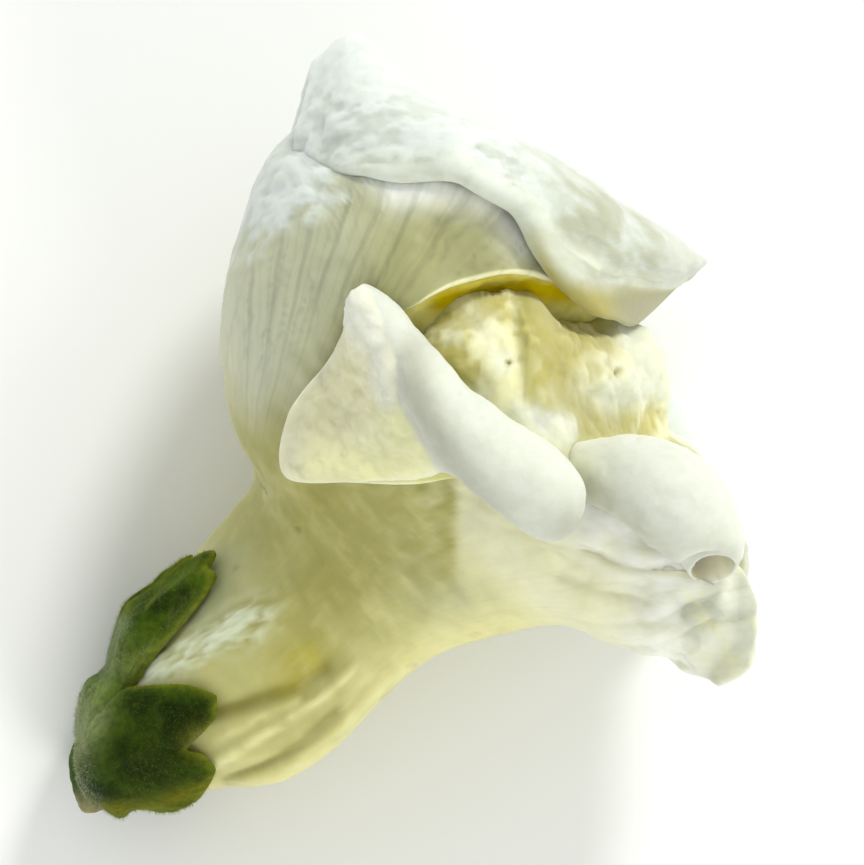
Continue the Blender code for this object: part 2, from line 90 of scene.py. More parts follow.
# Rows of the two upper lobes, from behind them to their margin
LOBES = (
    ((-6.2, 12.8, -5.0), (-4.0, 11.8, -9.6), (0.4, 14.0, -10.2), (5.2, 9.6, -14.6),
     (11.2, 6.8, -11.2), (14.0, 7.8, -6.8)),
    ((-5.4, 16.6, -3.4), (-3.2, 16.4, -6.6), (0.6, 15.9, -6.4), (5.8, 12.4, -9.8),
     (11.4, 9.4, -8.8), (14.4, 8.4, -6.2)),
    ((-4.7, 18.4, -1.4), (-2.9, 19.5, -1.6), (0.1, 16.9, -2.0), (4.9, 14.5, -2.8),
     (10.1, 11.3, -4.2), (14.6, 8.5, -5.4)),
    ((-5.3, 15.9, 0.2), (-2.8, 16.4, 2.6), (1.2, 15.4, 3.6), (5.6, 13.6, 3.4),
     (10.2, 10.4, 0.6), (14.2, 8.3, -4.4)),
    ((-6.4, 12.9, 0.6), (-2.2, 13.3, 5.2), (2.8, 13.4, 6.2), (6.3, 11.2, 5.2),
     (8.6, 8.2, 3.0), (13.6, 7.5, -3.6)))

# Where the underside of the upper lip meets the hood's margin, from left to right
LIP_UNDERSIDE = (
    (-4.0, 12.0, 1.0), (-2.9, 12.0, 2.4), (-1.6, 11.8, 3.6), (0.6, 11.4, 4.6), (2.8, 10.6, 5.0),
    (4.6, 9.5, 4.5), (6.2, 8.2, 3.4), (7.8, 7.0, 2.0), (9.6, 5.6, 0.2), (10.9, 5.3, -2.4),
    (13.0, 7.3, -4.9))

# The right end of the upper lip closes on a keel that runs from the tip
RIGHT_TIP = np.array((14.7, 8.45, -5.3))
RIGHT_KEEL = np.array((-0.8, -0.6, 0))

# Rows that roll the upper lip's margin under, columns that roll its left end under, and where the
# hood is drawn in behind it
LIP_ARC = 18
LIP_END = 12
BEHIND_LOBES = np.array((6.0, 12.9, -7.6))

# The three lower lobes, each with its root, the axis that it rolls round and the radius of the roll.
# All roll through the turns ROLL_TURNS, in degrees.
ROLL_TURNS = (-80, 215)
NEAR_ROOT = ((-2.9, 6.8, 5.4), (-3.4, 5.2, 5.2), (-4.3, 3.5, 4.8), (-6.3, 0.8, 3.0),
             (-6.5, -2.3, 2.8), (-3.2, -2.6, 4.4), (0.0, -2.7, 5.4), (2.6, -3.2, 5.2),
             (5.2, -5.4, 4.2), (7.6, -6.5, 3.6))
NEAR_AXIS = ((-2.5, 6.3, 6.4), (-1.8, 5.2, 6.8), (-1.0, 4.1, 7.0), (0.0, 2.9, 7.2),
             (0.9, 1.7, 7.4), (1.9, 0.4, 7.6), (3.0, -0.6, 7.6), (4.3, -1.6, 7.5),
             (6.2, -3.0, 7.1), (7.5, -5.0, 6.4))
NEAR_RADIUS = (0.8, 1.05, 1.15, 1.25, 1.5, 1.8, 2.0, 2.15, 2.1, 1.5)

# The near lobe is slimmer here than in the solids. NEAR_LEAD columns lead to its roll, NEAR_BROW is
# the column along the top of the roll, and NEAR_CAP is the middle of its upper end.
NEAR_SLIMMER = (1, 1, 1, 0.95, 0.88, 0.84, 0.83, 0.83, 0.86, 0.9)
NEAR_LEAD = 24
NEAR_BROW = 83
NEAR_CAP = np.array((-2.75, 6.95, 6.2))

MIDDLE_ROOT = ((7.6, -2.0, 3.2), (8.0, -3.4, 3.2), (8.4, -4.8, 3.0), (9.4, -6.3, 2.9),
               (11.4, -7.0, 2.9), (13.4, -7.1, 2.7), (14.9, -7.7, 2.2))
MIDDLE_AXIS = ((7.9, -1.2, 3.6), (9.2, -1.9, 4.4), (10.5, -2.3, 5.0), (12.0, -2.9, 5.2),
               (13.5, -4.1, 5.2), (14.6, -5.6, 4.7), (14.9, -7.1, 4.2))
MIDDLE_RADIUS = (0.9, 1.5, 2.0, 2.4, 2.4, 1.8, 1.15)
FAR_ROOT = ((8.6, 2.4, -8.4), (10.4, 0.6, -9.2), (10.6, -2.0, -9.6), (10.4, -4.6, -9.0),
            (10.6, -6.6, -7.6))
FAR_AXIS = ((9.8, 3.4, -8.0), (11.4, 1.4, -10.2), (12.4, -1.2, -11.9), (12.6, -4.2, -12.4),
            (11.8, -7.0, -11.2))
FAR_RADIUS = (0.7, 1.4, 1.9, 2.0, 1.5)

# The palate is a hump round a line across the mouth, with two bosses, and the lower lip's face runs on
# from it to FACE_EDGE. PALATE_ROWS and FACE_ROWS are how many rows the solid has for them.
PALATE_CENTRE = np.array((6.0, 1.5, -1.2))
PALATE_RADIUS = 3.9
PALATE_REACH = (-8.4, 7.6)
PALATE_SHOULDER = 5.4
PALATE_TAPER = 1.2
BOSS_SIDE = 4.1
BOSS_WIDTH = 2.1
BOSS_HEIGHT = 1.4
BOSS_LEAN = 0.5
PALATE_TURNS = (165, -35)
PALATE_ROWS = 12
FACE_ROWS = 5
FINE_FACE_ROWS = 46
FACE_EDGE = ((1.4, 0.6, 5.2), (4.8, -2.6, 4.4), (9.6, -5.2, 2.8), (13.0, -7.2, 1.2),
             (13.6, -9.2, -1.6), (13.6, -5.2, -6.2), (10.6, 1.6, -8.4))

# Rows of the mouth's lining, from the hood's margin down
MOUTH_GUIDES = (
    ((-3.4, 3.4, 3.6), (-2.0, 5.0, 4.2), (0.2, 6.6, 4.7), (2.6, 7.5, 4.3), (5.2, 7.9, 3.2),
     (7.6, 7.5, 1.4), (9.6, 6.8, -1.0), (11.2, 5.6, -3.8)),
    ((-2.2, 3.0, 2.6), (-1.0, 4.4, 3.0), (0.8, 5.6, 3.4), (3.0, 6.9, 3.0), (5.2, 7.2, 2.0),
     (7.4, 6.9, 0.2), (9.4, 6.2, -1.9), (10.9, 4.8, -4.4)),
    ((0.4, 1.6, 3.6), (1.2, 3.0, 3.6), (2.2, 4.2, 3.0), (3.6, 5.2, 2.0), (5.2, 5.2, 0.8),
     (7.2, 4.9, -1.2), (9.0, 4.6, -2.8), (10.4, 3.4, -5.0)))

# Sepals: degrees round the calyx, the level of the tip and half the width in degrees. The rim of those
# that show is drawn by SEPAL_RIM instead, as degrees and levels.
SEPALS = ((47, 2.35, 38), (-18, 2.1, 34), (-68, 1.85, 30), (-150, 2.0, 42), (118, 2.3, 36))
SEPAL_NOTCH = 1.0
SEPAL_BLUNTNESS = 1.7
SEPAL_RIM = ((-100, 1.2), (-75, 1.72), (-60, 1.9), (-47, 2.08), (-38, 1.98), (-30, 1.74),
             (-26, 2.0), (-20, 2.24), (-11, 2.28), (-1, 2.0), (8, 1.66), (17, 1.36), (25, 1.12),
             (27.5, 1.62), (31, 2.12), (35, 2.42), (39, 2.66), (46, 2.52), (50, 2.74), (58, 2.5),
             (68, 1.95), (80, 1.3))
CALYX_BOTTOM = (((-16.5, -16.5, -10.4), 105, 0.8, 0.8), ((-15.9, -16.1, -10.1), 105, 3.1, 3.1))
CALYX_LEVELS = (0.7, 1.3, 1.9, 2.5, 3.0)
CALYX_CLEAR = 1.23
STALK = ((-16.1, -16.3, -10.2), (-16.3, -16.9, -10.4), (-16.2, -18.0, -10.5), (-15.9, -18.9, -10.8))
FINE_STALK_RADIUS = (1.25, 1.2, 1.1, 1.05)
HAIR_COUNT = 30000
HAIR_LENGTHS = (0.12, 0.34)
HAIR_RADIUS = 0.009

# The pistil's line, and for each stamen its column on the shell and the level that it ends at
PISTIL = ((-15.7, -16.0, -10.05), (-14.5, -15.15, -9.5), (-13.2, -13.8, -8.9),
          (-11.6, -12.2, -8.7), (-8.6, -8.4, -8.7), (-6.2, -3.6, -7.9), (-5.8, 2.0, -7.0),
          (-4.6, 7.0, -5.6), (-2.0, 10.4, -4.0), (0.6, 11.0, -2.6), (1.6, 10.8, -2.2))
PISTIL_RADIUS = (0.45, 1.15, 1.05, 0.4, 0.3, 0.28, 0.28, 0.28, 0.28, 0.34, 0.5)
STAMENS = ((1.5, 6.7), (4.6, 6.7), (0.6, 6.4), (5.4, 6.4))
STAMEN_START = 1.3
STAMEN_INSET = (0.34, 0.34, 0.34, 0.36, 0.38, 0.4)
STAMEN_RADIUS = (0.3, 0.3, 0.3, 0.3, 0.3, 0.3, 0.7, 0.75, 0.35)

# Petals stay this far above the floor, and a dent in a face takes at most this share of the half
# thickness
LIFT = 0.02
SKIN_DEEPEST = -0.9

# The hood's veins fan out by this angle, in radians, for each step of ray, and the dark wall under the
# near lobe fades out on the right where -X is between these
VEIN_SPREAD = 0.44
WALL_FADE = (-2.05, -1.65)

# How noise is stretched into slanted tufts, creases and streaks
WEAVE_ACROSS = np.array(((0.5, 1.0, 0), (0.6, -1.4, 0), (0, 0, 0.6)))
STREAK_ACROSS = np.array(((1.2, -0.35, 0), (0.9, 0.5, 0), (0, 0, 0.5)))
LIP_STREAKS_ACROSS = np.array(((0.38, 1.1, 0), (-0.27, 1.55, 0), (0, 0, 0.8)))
PANEL_ACROSS = np.array(((1.0, 0.5, 0), (-0.4, 1.0, 0), (0, 0, 1)))

# Wide and narrow lines along a petal: scale, wander, where a line starts to show, and its depth
FINE_LINES = ((1.55, 2.2, 0.84, 0.17), (4.1, 4.0, 0.6, 0.06))

# The stage in metres, but the view in millimetres. A lamp has a name, the direction that it stands in,
# its size, power and colour.
FLOOR_HALF = 1.5
FLOOR_COLOUR = (0.95, 0.95, 0.945, 1)
SKY_COLOUR = (0.98, 1.0, 0.975, 1)
SKY_STRENGTH = 0.70
LAMP_DISTANCE = 1.2
LAMPS = (("key", (0.38, 0.82, 0.62), 0.24, 8.0, (1.0, 0.99, 0.955)),
         ("fill", (0.55, -0.70, 0.55), 0.5, 4.2, (1.0, 1.0, 0.97)))
CAMERA_DISTANCE = 1.0
VIEW_WIDTH = 43.2
VIEW_MIDDLE = np.array((0.85, -0.125, 1.0))

# Marks seen in the photo. One mark is what stroke or spot takes: places in pixels of the photo, then
# a width or radii in millimetres and for a long spot its turn in degrees. In a group of marks, which
# drawn takes, each has its strength in front. First those of the shell.
SKIRT_TIP = (712, 680), 2.2
VEIN_FOOT = (246, 530)
RIBS = ((1, ((205, 765), (250, 742), (285, 722), (321, 697), (350, 668)), 0.26),
        (1, ((215, 797), (262, 783), (300, 757), (340, 722), (372, 686)), 0.28),
        (0.5, ((222, 735), (262, 716), (300, 700)), 0.3))
GROOVES = ((1, ((208, 715), (240, 706), (270, 694), (300, 685), (322, 668)), 0.45),
           (0.8, ((225, 780), (262, 764), (300, 740), (335, 708)), 0.3))
# Crumpled patch at the tube's base, with a painted highlight on it
CRUMPLE_AND_HIGHLIGHT = ((150, 675), (190, 655), (235, 632), (262, 612)), 0.85
# The skirt's creases: they dent it and carry a painted crease shadow
SKIRT_FOLDS_AND_SHADE = ((1, ((585, 548), (610, 560), (637, 568), (665, 569), (690, 572)), 0.2),
               (0.7, ((560, 575), (600, 590), (650, 600)), 0.25),
               (0.6, ((640, 620), (690, 628), (735, 612)), 0.25))
SKIRT_CREST = ((590, 538), (625, 550), (660, 556)), 0.35
DIMPLES = ((1, (302, 528), 0.16), (0.6, (240, 570), 0.10))
NEAR_LOBE_BED = ((345, 395), (362, 372), (375, 350)), 1.1
UPPER_LOBES_BED = ((345, 188), (380, 192), (430, 192), (470, 198)), 0.8
SKIRT_CORNER = (712, 684), 1.3
SKIRT_TUCK = ((0.65, ((660, 405), (700, 440), (735, 480), (745, 510)), 1.6),
              (0.8, (668, 408), 1.8))
SKIRT_BULGE = (742, 655), 1.2
SKIRT_DENT = (726, 690), 0.9
TUBE_SHADE = (330, 590), 4.2, 2.4, 40
# Painted shade along the tube's upper left side
TUBE_BACK_SHADE = ((262, 490), (235, 545), (205, 620)), 1.6
# Painted backlight glow along the tube's lower edge
TUBE_EDGE_BACKLIGHT = ((230, 800), (300, 775), (350, 735), (400, 680), (450, 640), (540, 610)), 1.3
# Painted shade on the right of the skirt
SKIRT_SHADE_MARKS = ((1.4, ((745, 545), (745, 640), (722, 672)), 0.9), (1, (700, 612), 1.3))
HOOD_LOW = (250, 400), 3.6, 5.5
HOOD_GLEAM = ((400, 190), (450, 185), (500, 200), (525, 240)), 1.1
CROWN_NICK = (279, 193), 0.5, 0.3, 30
OCHRE_PATCH = (302, 668), 1.7, 1.1, 55
# Painted shadow under the near lobe's lower edge
EAVE_SHADOW = ((300, 496), (350, 493), (400, 495), (455, 500)), 0.9

# Marks of the upper lobes
WART = (578, 262), 1.15, 0.5, -20
# Painted highlight on the wart
WART_HIGHLIGHT = (576, 262), 1.2, 0.6, -20
CREST_NICK = (281, 192), 0.5, 0.3, 30

# Marks of the near lobe, whose panel is the flat part left of its roll
PANEL_BORDER = ((372, 300), (388, 335), (398, 360), (404, 400), (424, 440), (452, 485))
PANEL_CREASES = ((1, ((300, 470), (335, 440), (372, 372), (380, 350)), 0.3),
                 (0.7, ((345, 478), (385, 440), (408, 415)), 0.25))
# Painted backlight glow on the panel
PANEL_GLOW = ((330, 475), (400, 470), (450, 480), (430, 450), (410, 425)), 1.3
PANEL_BEIGE = (330, 415), 2.4, 1.5, 60
PANEL_WHITE = ((1.2, (368, 306), 1.7, 1.5), (0.9, ((366, 310), (382, 350), (390, 395)), 0.6))
NEAR_SHADE = ((410, 350), (418, 388), (442, 438), (465, 475), (520, 535)), 0.75
NEAR_SHADE_END = (572, 530), 1.4

# Marks of the middle lobe
MIDDLE_SHADE = ((590, 485), (625, 525), (665, 555)), 0.9
MIDDLE_WARM = (580, 470), 1.2
SCROLL_SHADE = (715, 560), 1.2
# Painted shade in the hollow of the scroll's open end
SCROLL_HOLLOW_SHADE = (694, 570), 0.9

# Marks of the palate and of the mouth's lining, and the heights in millimetres of its bumps and pits
FURROW = ((524, 285), (522, 325), (530, 395), (548, 432)), 0.42
BOSSES = ((0.55, (480, 345), 1.6, 2.2), (0.55, (612, 372), 2.0))
BOSS_GAP = ((535, 310), (545, 360), (560, 405)), 0.9
BUMPS = ((0.5, (525, 330), 0.33), (0.4, (531, 342), 0.28), (0.4, (555, 430), 0.75),
         (0.5, (595, 311), 0.9))
PITS = ((1, (508, 364), 0.16), (1, (605, 377), 0.16))
PIT_DEPTH = 0.35
# Painted shade in the hollow between the palate's bosses
PALATE_HOLLOW_SHADE = ((1, ((535, 315), (550, 355), (560, 400), (600, 425)), 1.0),
                 (1, ((550, 345), (600, 350)), 0.7))
# Painted shade along the palate's left edge
PALATE_BRINK_SHADE = ((415, 318), (435, 365), (470, 402)), 1.1
# Partly the palate's white colour, partly painted highlight and painted light
PALATE_PALE_AND_HIGHLIGHT = ((1, ((625, 345), (650, 385), (600, 395)), 1.0), (1, (555, 430), 0.9),
                (0.5, ((470, 310), (500, 365)), 0.7), (1, ((515, 412), (560, 432)), 0.6),
                (0.6, (482, 392), 0.7))
# Painted shade along the mouth's slit
MOUTH_SLIT_SHADE = ((440, 300), (480, 290), (520, 286), (565, 290)), 0.7

# Marks of the sepals and of the cup that they stand on, and where their hairs are paler
SEPAL_SWELL = ((0.45, (128, 612), 1.0), (-0.75, (93, 668), 1.3))
SEPAL_RIDGE = ((128, 640), (165, 600), (211, 568)), 0.4
# Painted shade on the calyx's lower side
SEPALS_SHADE = ((1, (150, 770), 3.2, 2.2), (1, (190, 715), 1.5, 1.2))
SEPAL_PALE = ((130, 668), (170, 645), (205, 604)), 0.55
CUP_SWELL = ((0.8, (88, 768), 1.4), (0.5, (82, 792), 1.2))
SEPALS_OLIVE = ((1, (198, 742), 0.8), (1, ((100, 802), (145, 812), (205, 792)), 0.5))
CUP_FUZZ = ((120, 632), (98, 690), (88, 745)), 0.7
# Painted highlight along the cup's left edge
CUP_EDGE_HIGHLIGHT = ((90, 720), (80, 770)), 0.8
HAIRS_PALE = ((1, SEPAL_PALE[0], 0.6), (1, *CUP_FUZZ), (1, (198, 742), 0.7))


# Curves, nets and noise

def steps(first, last, count):
    return np.linspace(first, last, count)


def fine_steps(first, last, count):
    """Even steps with a few more close to both ends, where a petal's margin is rounded."""
    even = np.linspace(first, last, count)
    gap = even[1] - even[0]
    close = np.array((0.12, 0.3, 0.6)) * gap
    return np.sort(np.concatenate((even, first + close, last - close)))


def spline(points, at, closed=False):
    """Points of a smooth curve through a list of points, at whole and broken numbers of it."""
    points = np.asarray(points, dtype=float)
    count = len(points)
    at = np.asarray(at, dtype=float)
    cell = np.floor(at).astype(int)
    if closed:
        ring = points[np.arange(-1, count + 3) % count]
    else:
        cell = np.clip(cell, 0, count - 2)
        ring = np.concatenate(([2 * points[0] - points[1]], points,
                               [2 * points[-1] - points[-2]]))
    part = (at - cell).reshape((-1,) + (1,) * (points.ndim - 1))
    a, b, c, d = (ring[cell + step] for step in range(4))
    return 0.5 * (2 * b + (c - a) * part + (2 * a - 5 * b + 4 * c - d) * part ** 2
                  + (3 * b - a - 3 * c + d) * part ** 3)


def net(curves, rows, columns, closed=False):
    """Grid of points at rows and columns of a smooth surface through a list of curves."""
    levels = spline(curves, rows)
    return np.swapaxes(spline(np.swapaxes(levels, 0, 1), columns, closed), 0, 1)


def noise(points, size, seed=0):
    """Smooth noise from -1 to 1 whose lumps are about size millimetres wide."""
    p = np.asarray(points, dtype=float) / size + 31.7 * seed + 1000.5
    cell = np.floor(p).astype(np.int64)
    f = p - cell
    f = f * f * (3 - 2 * f)
    total = 0
    for dx in (0, 1):
        for dy in (0, 1):
            for dz in (0, 1):
                h = ((cell[..., 0] + dx) * 374761393 + (cell[..., 1] + dy) * 668265263
                     + (cell[..., 2] + dz) * 1442695041)
                h = (h ^ (h >> 13)) * 1274126177
                h = (h ^ (h >> 16)) & 0xFFFF
                weight = ((f[..., 0] if dx else 1 - f[..., 0])
                          * (f[..., 1] if dy else 1 - f[..., 1])
                          * (f[..., 2] if dz else 1 - f[..., 2]))
                total = total + weight * (h / 32767.5 - 1)
    return total


def lumps(points, size, octaves=3, seed=0):
    """Noise with finer and finer detail."""
    total = 0
    for k in range(octaves):
        total = total + noise(points, size * 0.5 ** k, seed + k) * 0.55 ** k
    return total


def smooth(value, low, high):
    """0 below low, 1 above high and a soft step between."""
    part = np.clip((value - low) / (high - low), 0, 1)
    return part * part * (3 - 2 * part)


def unit(vectors):
    """Vectors along the last axis, made one long."""
    return vectors / np.maximum(np.linalg.norm(vectors, axis=-1, keepdims=True), 1e-9)


def dome(part, least):
    """Quarter circle: from least where part is 0 up to 1 where part is 1 or more."""
    return np.sqrt(np.clip(1 - (1 - np.clip(part, 0, 1)) ** 2, least, 1))


def mm(points):
    """Points of the photo, in the millimetres of the lists."""
    points = np.asarray(points, dtype=float)
    return np.stack(((points[..., 0] - PHOTO_ORIGIN[0]) / PIXELS,
                     (PHOTO_ORIGIN[1] - points[..., 1]) / PIXELS), axis=-1)


def spot(grid, place, radius, radius_y=None, turn=0.0):
    """Round hump of height 1 over a place in the photo, for what faces the eye."""
    x, y = mm(place)
    turn = math.radians(turn)
    dx, dy = grid[..., 0] - x, grid[..., 1] - y
    along = (dx * math.cos(turn) + dy * math.sin(turn)) / radius
    aside = (-dx * math.sin(turn) + dy * math.cos(turn)) / (radius_y or radius)
    return np.exp(-along ** 2 - aside ** 2)


def stroke(grid, points, width):
    """Soft line of height 1 along a row of points in the photo, for what faces the eye."""
    points = mm(points)
    place = grid[..., :2]
    best = np.full(grid.shape[:-1], 1e9)
    for a, b in zip(points[:-1], points[1:]):
        along = b - a
        part = np.clip(((place - a) @ along) / (along @ along), 0, 1)
        away = np.linalg.norm(place - a - part[..., None] * along, axis=-1)
        best = np.minimum(best, away)
    return np.exp(-(best / width) ** 2)


def drawn(grid, marks):
    """Sum of marks, each its strength and then what stroke or spot takes."""
    total = 0
    for strength, place, *size in marks:
        draw = stroke if np.ndim(place) == 2 else spot
        total = total + strength * draw(grid, place, *size)
    return total


def srgb(r, g, b):
    value = np.array((r, g, b), dtype=float)
    return np.where(value > 0.04045, ((value + 0.055) / 1.055) ** 2.4, value / 12.92)


def blend(low, high, part):
    """Colours between two, each either one colour or a colour for each point."""
    part = np.asarray(part)[..., None]
    return np.asarray(low) * (1 - part) + np.asarray(high) * part


def wash(tint, colour, share, within=1):
    """Tint covered by a colour, by a share that is cut off at 0 and 1."""
    return blend(tint, colour, np.clip(share, 0, 1) * within)


# Colours of the petals
WHITE = srgb(0.87, 0.90, 0.87)
CREAM = srgb(0.93, 0.92, 0.74)
SATIN = srgb(0.965, 0.97, 0.91)
MOTTLE_DIP_SHADE = srgb(0.76, 0.78, 0.72)
OLIVE = srgb(0.62, 0.59, 0.20)
GOLD = srgb(0.80, 0.74, 0.24)

# Colours of the shell: tube, skirt and hood
FLANK_SHADED = srgb(0.765, 0.775, 0.65)
FLANK_PALE = srgb(0.88, 0.89, 0.79)
TUBE_PALE = srgb(0.80, 0.785, 0.52)
TUBE_GREY_SHADE = srgb(0.70, 0.72, 0.55)
TUBE_SHADE_OLIVE = srgb(0.68, 0.66, 0.36)
TUBE_BACKLIGHT_GLOW = srgb(0.92, 0.89, 0.62)
SKIRT_BASE = srgb(0.96, 0.955, 0.78)
SKIRT_CREASE_SHADE = srgb(0.80, 0.79, 0.62)
SKIRT_GREY_SHADE = srgb(0.77, 0.78, 0.72)
HOOD_RIM_SHADE = srgb(0.64, 0.64, 0.43)
HOOD_WHITE = srgb(0.98, 0.985, 0.93)
GROOVE_OLIVE = srgb(0.50, 0.47, 0.10)
OCHRE = srgb(0.71, 0.67, 0.18)
CRUMPLE_HIGHLIGHT = srgb(0.86, 0.89, 0.77)
RIB_PALE = srgb(0.90, 0.88, 0.64)
DIMPLE_BROWN = srgb(0.42, 0.36, 0.16)
SHELF_SHADE_OLIVE = srgb(0.70, 0.68, 0.40)
STREAK_DARK = srgb(0.62, 0.60, 0.34)
STREAK_PALE = srgb(0.93, 0.91, 0.68)

# Colours of the lobes
LIP_STREAK = srgb(0.71, 0.72, 0.63)
WART_HIGHLIGHT_CREAM = srgb(0.84, 0.855, 0.78)
TIP_GREY = srgb(0.79, 0.80, 0.75)
LIP_UNDER_SHADE = srgb(0.66, 0.62, 0.28)
LIP_TIP_UNDER_SHADE = srgb(0.64, 0.63, 0.50)
ROLL = srgb(0.87, 0.885, 0.83)
ROLL_GREY = srgb(0.74, 0.74, 0.66)
ROLL_SHADE = srgb(0.71, 0.71, 0.64)
PANEL = srgb(0.975, 0.97, 0.80)
PANEL_WRINKLE_SHADE = srgb(0.94, 0.915, 0.73)
PANEL_BACKLIGHT_GOLD = srgb(1.0, 0.995, 0.74)
PANEL_TOP = srgb(0.96, 0.965, 0.87)
BEIGE = srgb(0.85, 0.84, 0.69)
SCROLL_PALE = srgb(0.86, 0.85, 0.77)
SCROLL_SHADE_DARK = srgb(0.70, 0.67, 0.54)

# Colours of the palate and the mouth
PALATE_OLIVE = srgb(0.78, 0.745, 0.42)
PALATE_DEEP_SHADE = srgb(0.70, 0.665, 0.36)
PALATE_WHITE = srgb(0.88, 0.89, 0.80)
PIT_OLIVE = srgb(0.66, 0.60, 0.20)
MOUTH_YELLOW = srgb(0.93, 0.90, 0.55)
MOUTH_SHADE_OLIVE = srgb(0.80, 0.71, 0.0)

# Colours of the calyx
GREEN = srgb(0.27, 0.37, 0.02)
GREEN_DARK = srgb(0.11, 0.20, 0.0)
GREEN_SHADE = srgb(0.06, 0.14, 0.0)
GREEN_PALE = srgb(0.50, 0.56, 0.20)
GREEN_RIM = srgb(0.50, 0.53, 0.12)
GREEN_OLIVE = srgb(0.46, 0.46, 0.06)
GREEN_FUZZ = srgb(0.46, 0.55, 0.24)
GREEN_BASE = srgb(0.44, 0.48, 0.26)
GREEN_EDGE_HIGHLIGHT = srgb(0.60, 0.64, 0.44)
HAIR_GREEN = srgb(0.27, 0.38, 0.02)
HAIR_EDGE_HIGHLIGHT = srgb(0.72, 0.78, 0.52)
HAIR_PALE = srgb(0.62, 0.70, 0.36)
STALK_GREEN = srgb(0.24, 0.33, 0.04)
STALK_CUT = srgb(0.60, 0.58, 0.42)

# Colours of the inner organs
OVARY = srgb(0.62, 0.72, 0.32)
STYLE = srgb(0.90, 0.90, 0.62)
FILAMENT = srgb(0.92, 0.92, 0.78)
ANTHER = srgb(0.88, 0.72, 0.22)


# Materials

def new_material(name):
    mat = bpy.data.materials.new(name)
    mat.use_nodes = True
    nodes = mat.node_tree.nodes
    return mat, nodes, mat.node_tree.links, nodes["Principled BSDF"]


def set_inputs(node, values):
    """Sets inputs of a node by their names."""
    for name, value in values.items():
        node.inputs[name].default_value = value


def new_node(nodes, kind, values):
    node = nodes.new("ShaderNode" + kind)
    set_inputs(node, values)
    return node


def calculate(nodes, links, operation, *values):
    """Result of a Math node, whose values are sockets or numbers."""
    node = new_node(nodes, "Math", {})
    node.operation = operation
    for socket, value in zip(node.inputs, values):
        if isinstance(value, (int, float)):
            socket.default_value = value
        else:
            links.new(value, socket)
    return node.outputs["Value"]


def mapped(nodes, links, value, start, end, kind="LINEAR"):
    """Value taken from the range start to the range end."""
    node = new_node(nodes, "MapRange", {"From Min": start[0], "From Max": start[1],
                                        "To Min": end[0], "To Max": end[1]})
    node.interpolation_type = kind
    links.new(value, node.inputs["Value"])
    return node.outputs["Result"]


def add_bump(nodes, links, surface, layers):
    """Chain of bumps on object coordinates: each a size in millimetres, a height and a detail."""
    place = new_node(nodes, "TexCoord", {})
    before = None
    for size, height, detail in layers:
        texture = new_node(nodes, "TexNoise", {"Scale": 1 / (size * MM), "Detail": detail,
                                               "Roughness": 0.55})
        links.new(place.outputs["Object"], texture.inputs["Vector"])
        bump = new_node(nodes, "Bump", {"Strength": 1, "Distance": height * MM})
        links.new(texture.outputs["Fac"], bump.inputs["Height"])
        if before:
            links.new(before.outputs["Normal"], bump.inputs["Normal"])
        before = bump
    links.new(before.outputs["Normal"], surface.inputs["Normal"])
    return place


def tinted(nodes, links, surface, place, mottle, size):
    """Base colour from the piece's own tint, mottled by a noise and with the petal's fine lines."""
    tint = new_node(nodes, "VertexColor", {})
    tint.layer_name = "tint"
    patches = new_node(nodes, "TexNoise", {"Scale": 1 / (size * MM), "Detail": 4})
    links.new(place.outputs["Object"], patches.inputs["Vector"])
    shade = mapped(nodes, links, patches.outputs["Fac"], (0.3, 0.7), (1 - mottle, 1 + mottle * 0.3))
    flow = new_node(nodes, "UVMap", {})
    flow.uv_map = "flow"
    for scale, wander, low, depth in FINE_LINES:
        wave = new_node(nodes, "TexWave", {"Scale": scale, "Distortion": wander, "Detail": 2,
                                           "Detail Scale": 0.9})
        links.new(flow.outputs["UV"], wave.inputs["Vector"])
        line = mapped(nodes, links, wave.outputs["Fac"], (low, 1.0), (0.0, depth), "SMOOTHSTEP")
        strength = calculate(nodes, links, "MULTIPLY", line, tint.outputs["Alpha"])
        darker = calculate(nodes, links, "MULTIPLY_ADD", strength, -1, 1)
        shade = calculate(nodes, links, "MULTIPLY", shade, darker)
    mixed = new_node(nodes, "VectorMath", {})
    mixed.operation = "SCALE"
    links.new(tint.outputs["Color"], mixed.inputs[0])
    links.new(shade, mixed.inputs["Scale"])
    links.new(mixed.outputs["Vector"], surface.inputs["Base Color"])


def petal_material(name, roughness, sheen, layers, mottle, size, scatter=0.8, gloss=0.35):
    mat, nodes, links, surface = new_material(name)
    set_inputs(surface, {
        "Roughness": roughness, "Specular IOR Level": gloss,
        "Subsurface Weight": scatter, "Subsurface Radius": (1.0, 0.98, 0.78),
        "Subsurface Scale": 0.9 * MM, "Sheen Weight": sheen, "Sheen Roughness": 0.5})
    place = add_bump(nodes, links, surface, layers)
    tinted(nodes, links, surface, place, mottle, size)
    return mat


# Pieces from grids of points

def grid_normals(grid, closed):
    if closed:
        across = np.roll(grid, -1, axis=1) - np.roll(grid, 1, axis=1)
    else:
        across = np.gradient(grid, axis=1)
    return unit(np.cross(across, np.gradient(grid, axis=0)))


def margin_distance(grid, closed, open_rows):
    """Distance of each point from the nearest free margin, along the grid's lines."""
    rows, columns = grid.shape[:2]
    far = np.full((rows, columns), 1e9)
    step = np.linalg.norm(np.diff(grid, axis=0), axis=2)
    down = np.concatenate((np.zeros((1, columns)), np.cumsum(step, axis=0)))
    if "first" in open_rows:
        far = np.minimum(far, down)
    if "last" in open_rows:
        far = np.minimum(far, down[-1] - down)
    if not closed:
        step = np.linalg.norm(np.diff(grid, axis=1), axis=2)
        along = np.concatenate((np.zeros((rows, 1)), np.cumsum(step, axis=1)), axis=1)
        far = np.minimum(far, np.minimum(along, along[:, -1:] - along))
    return far


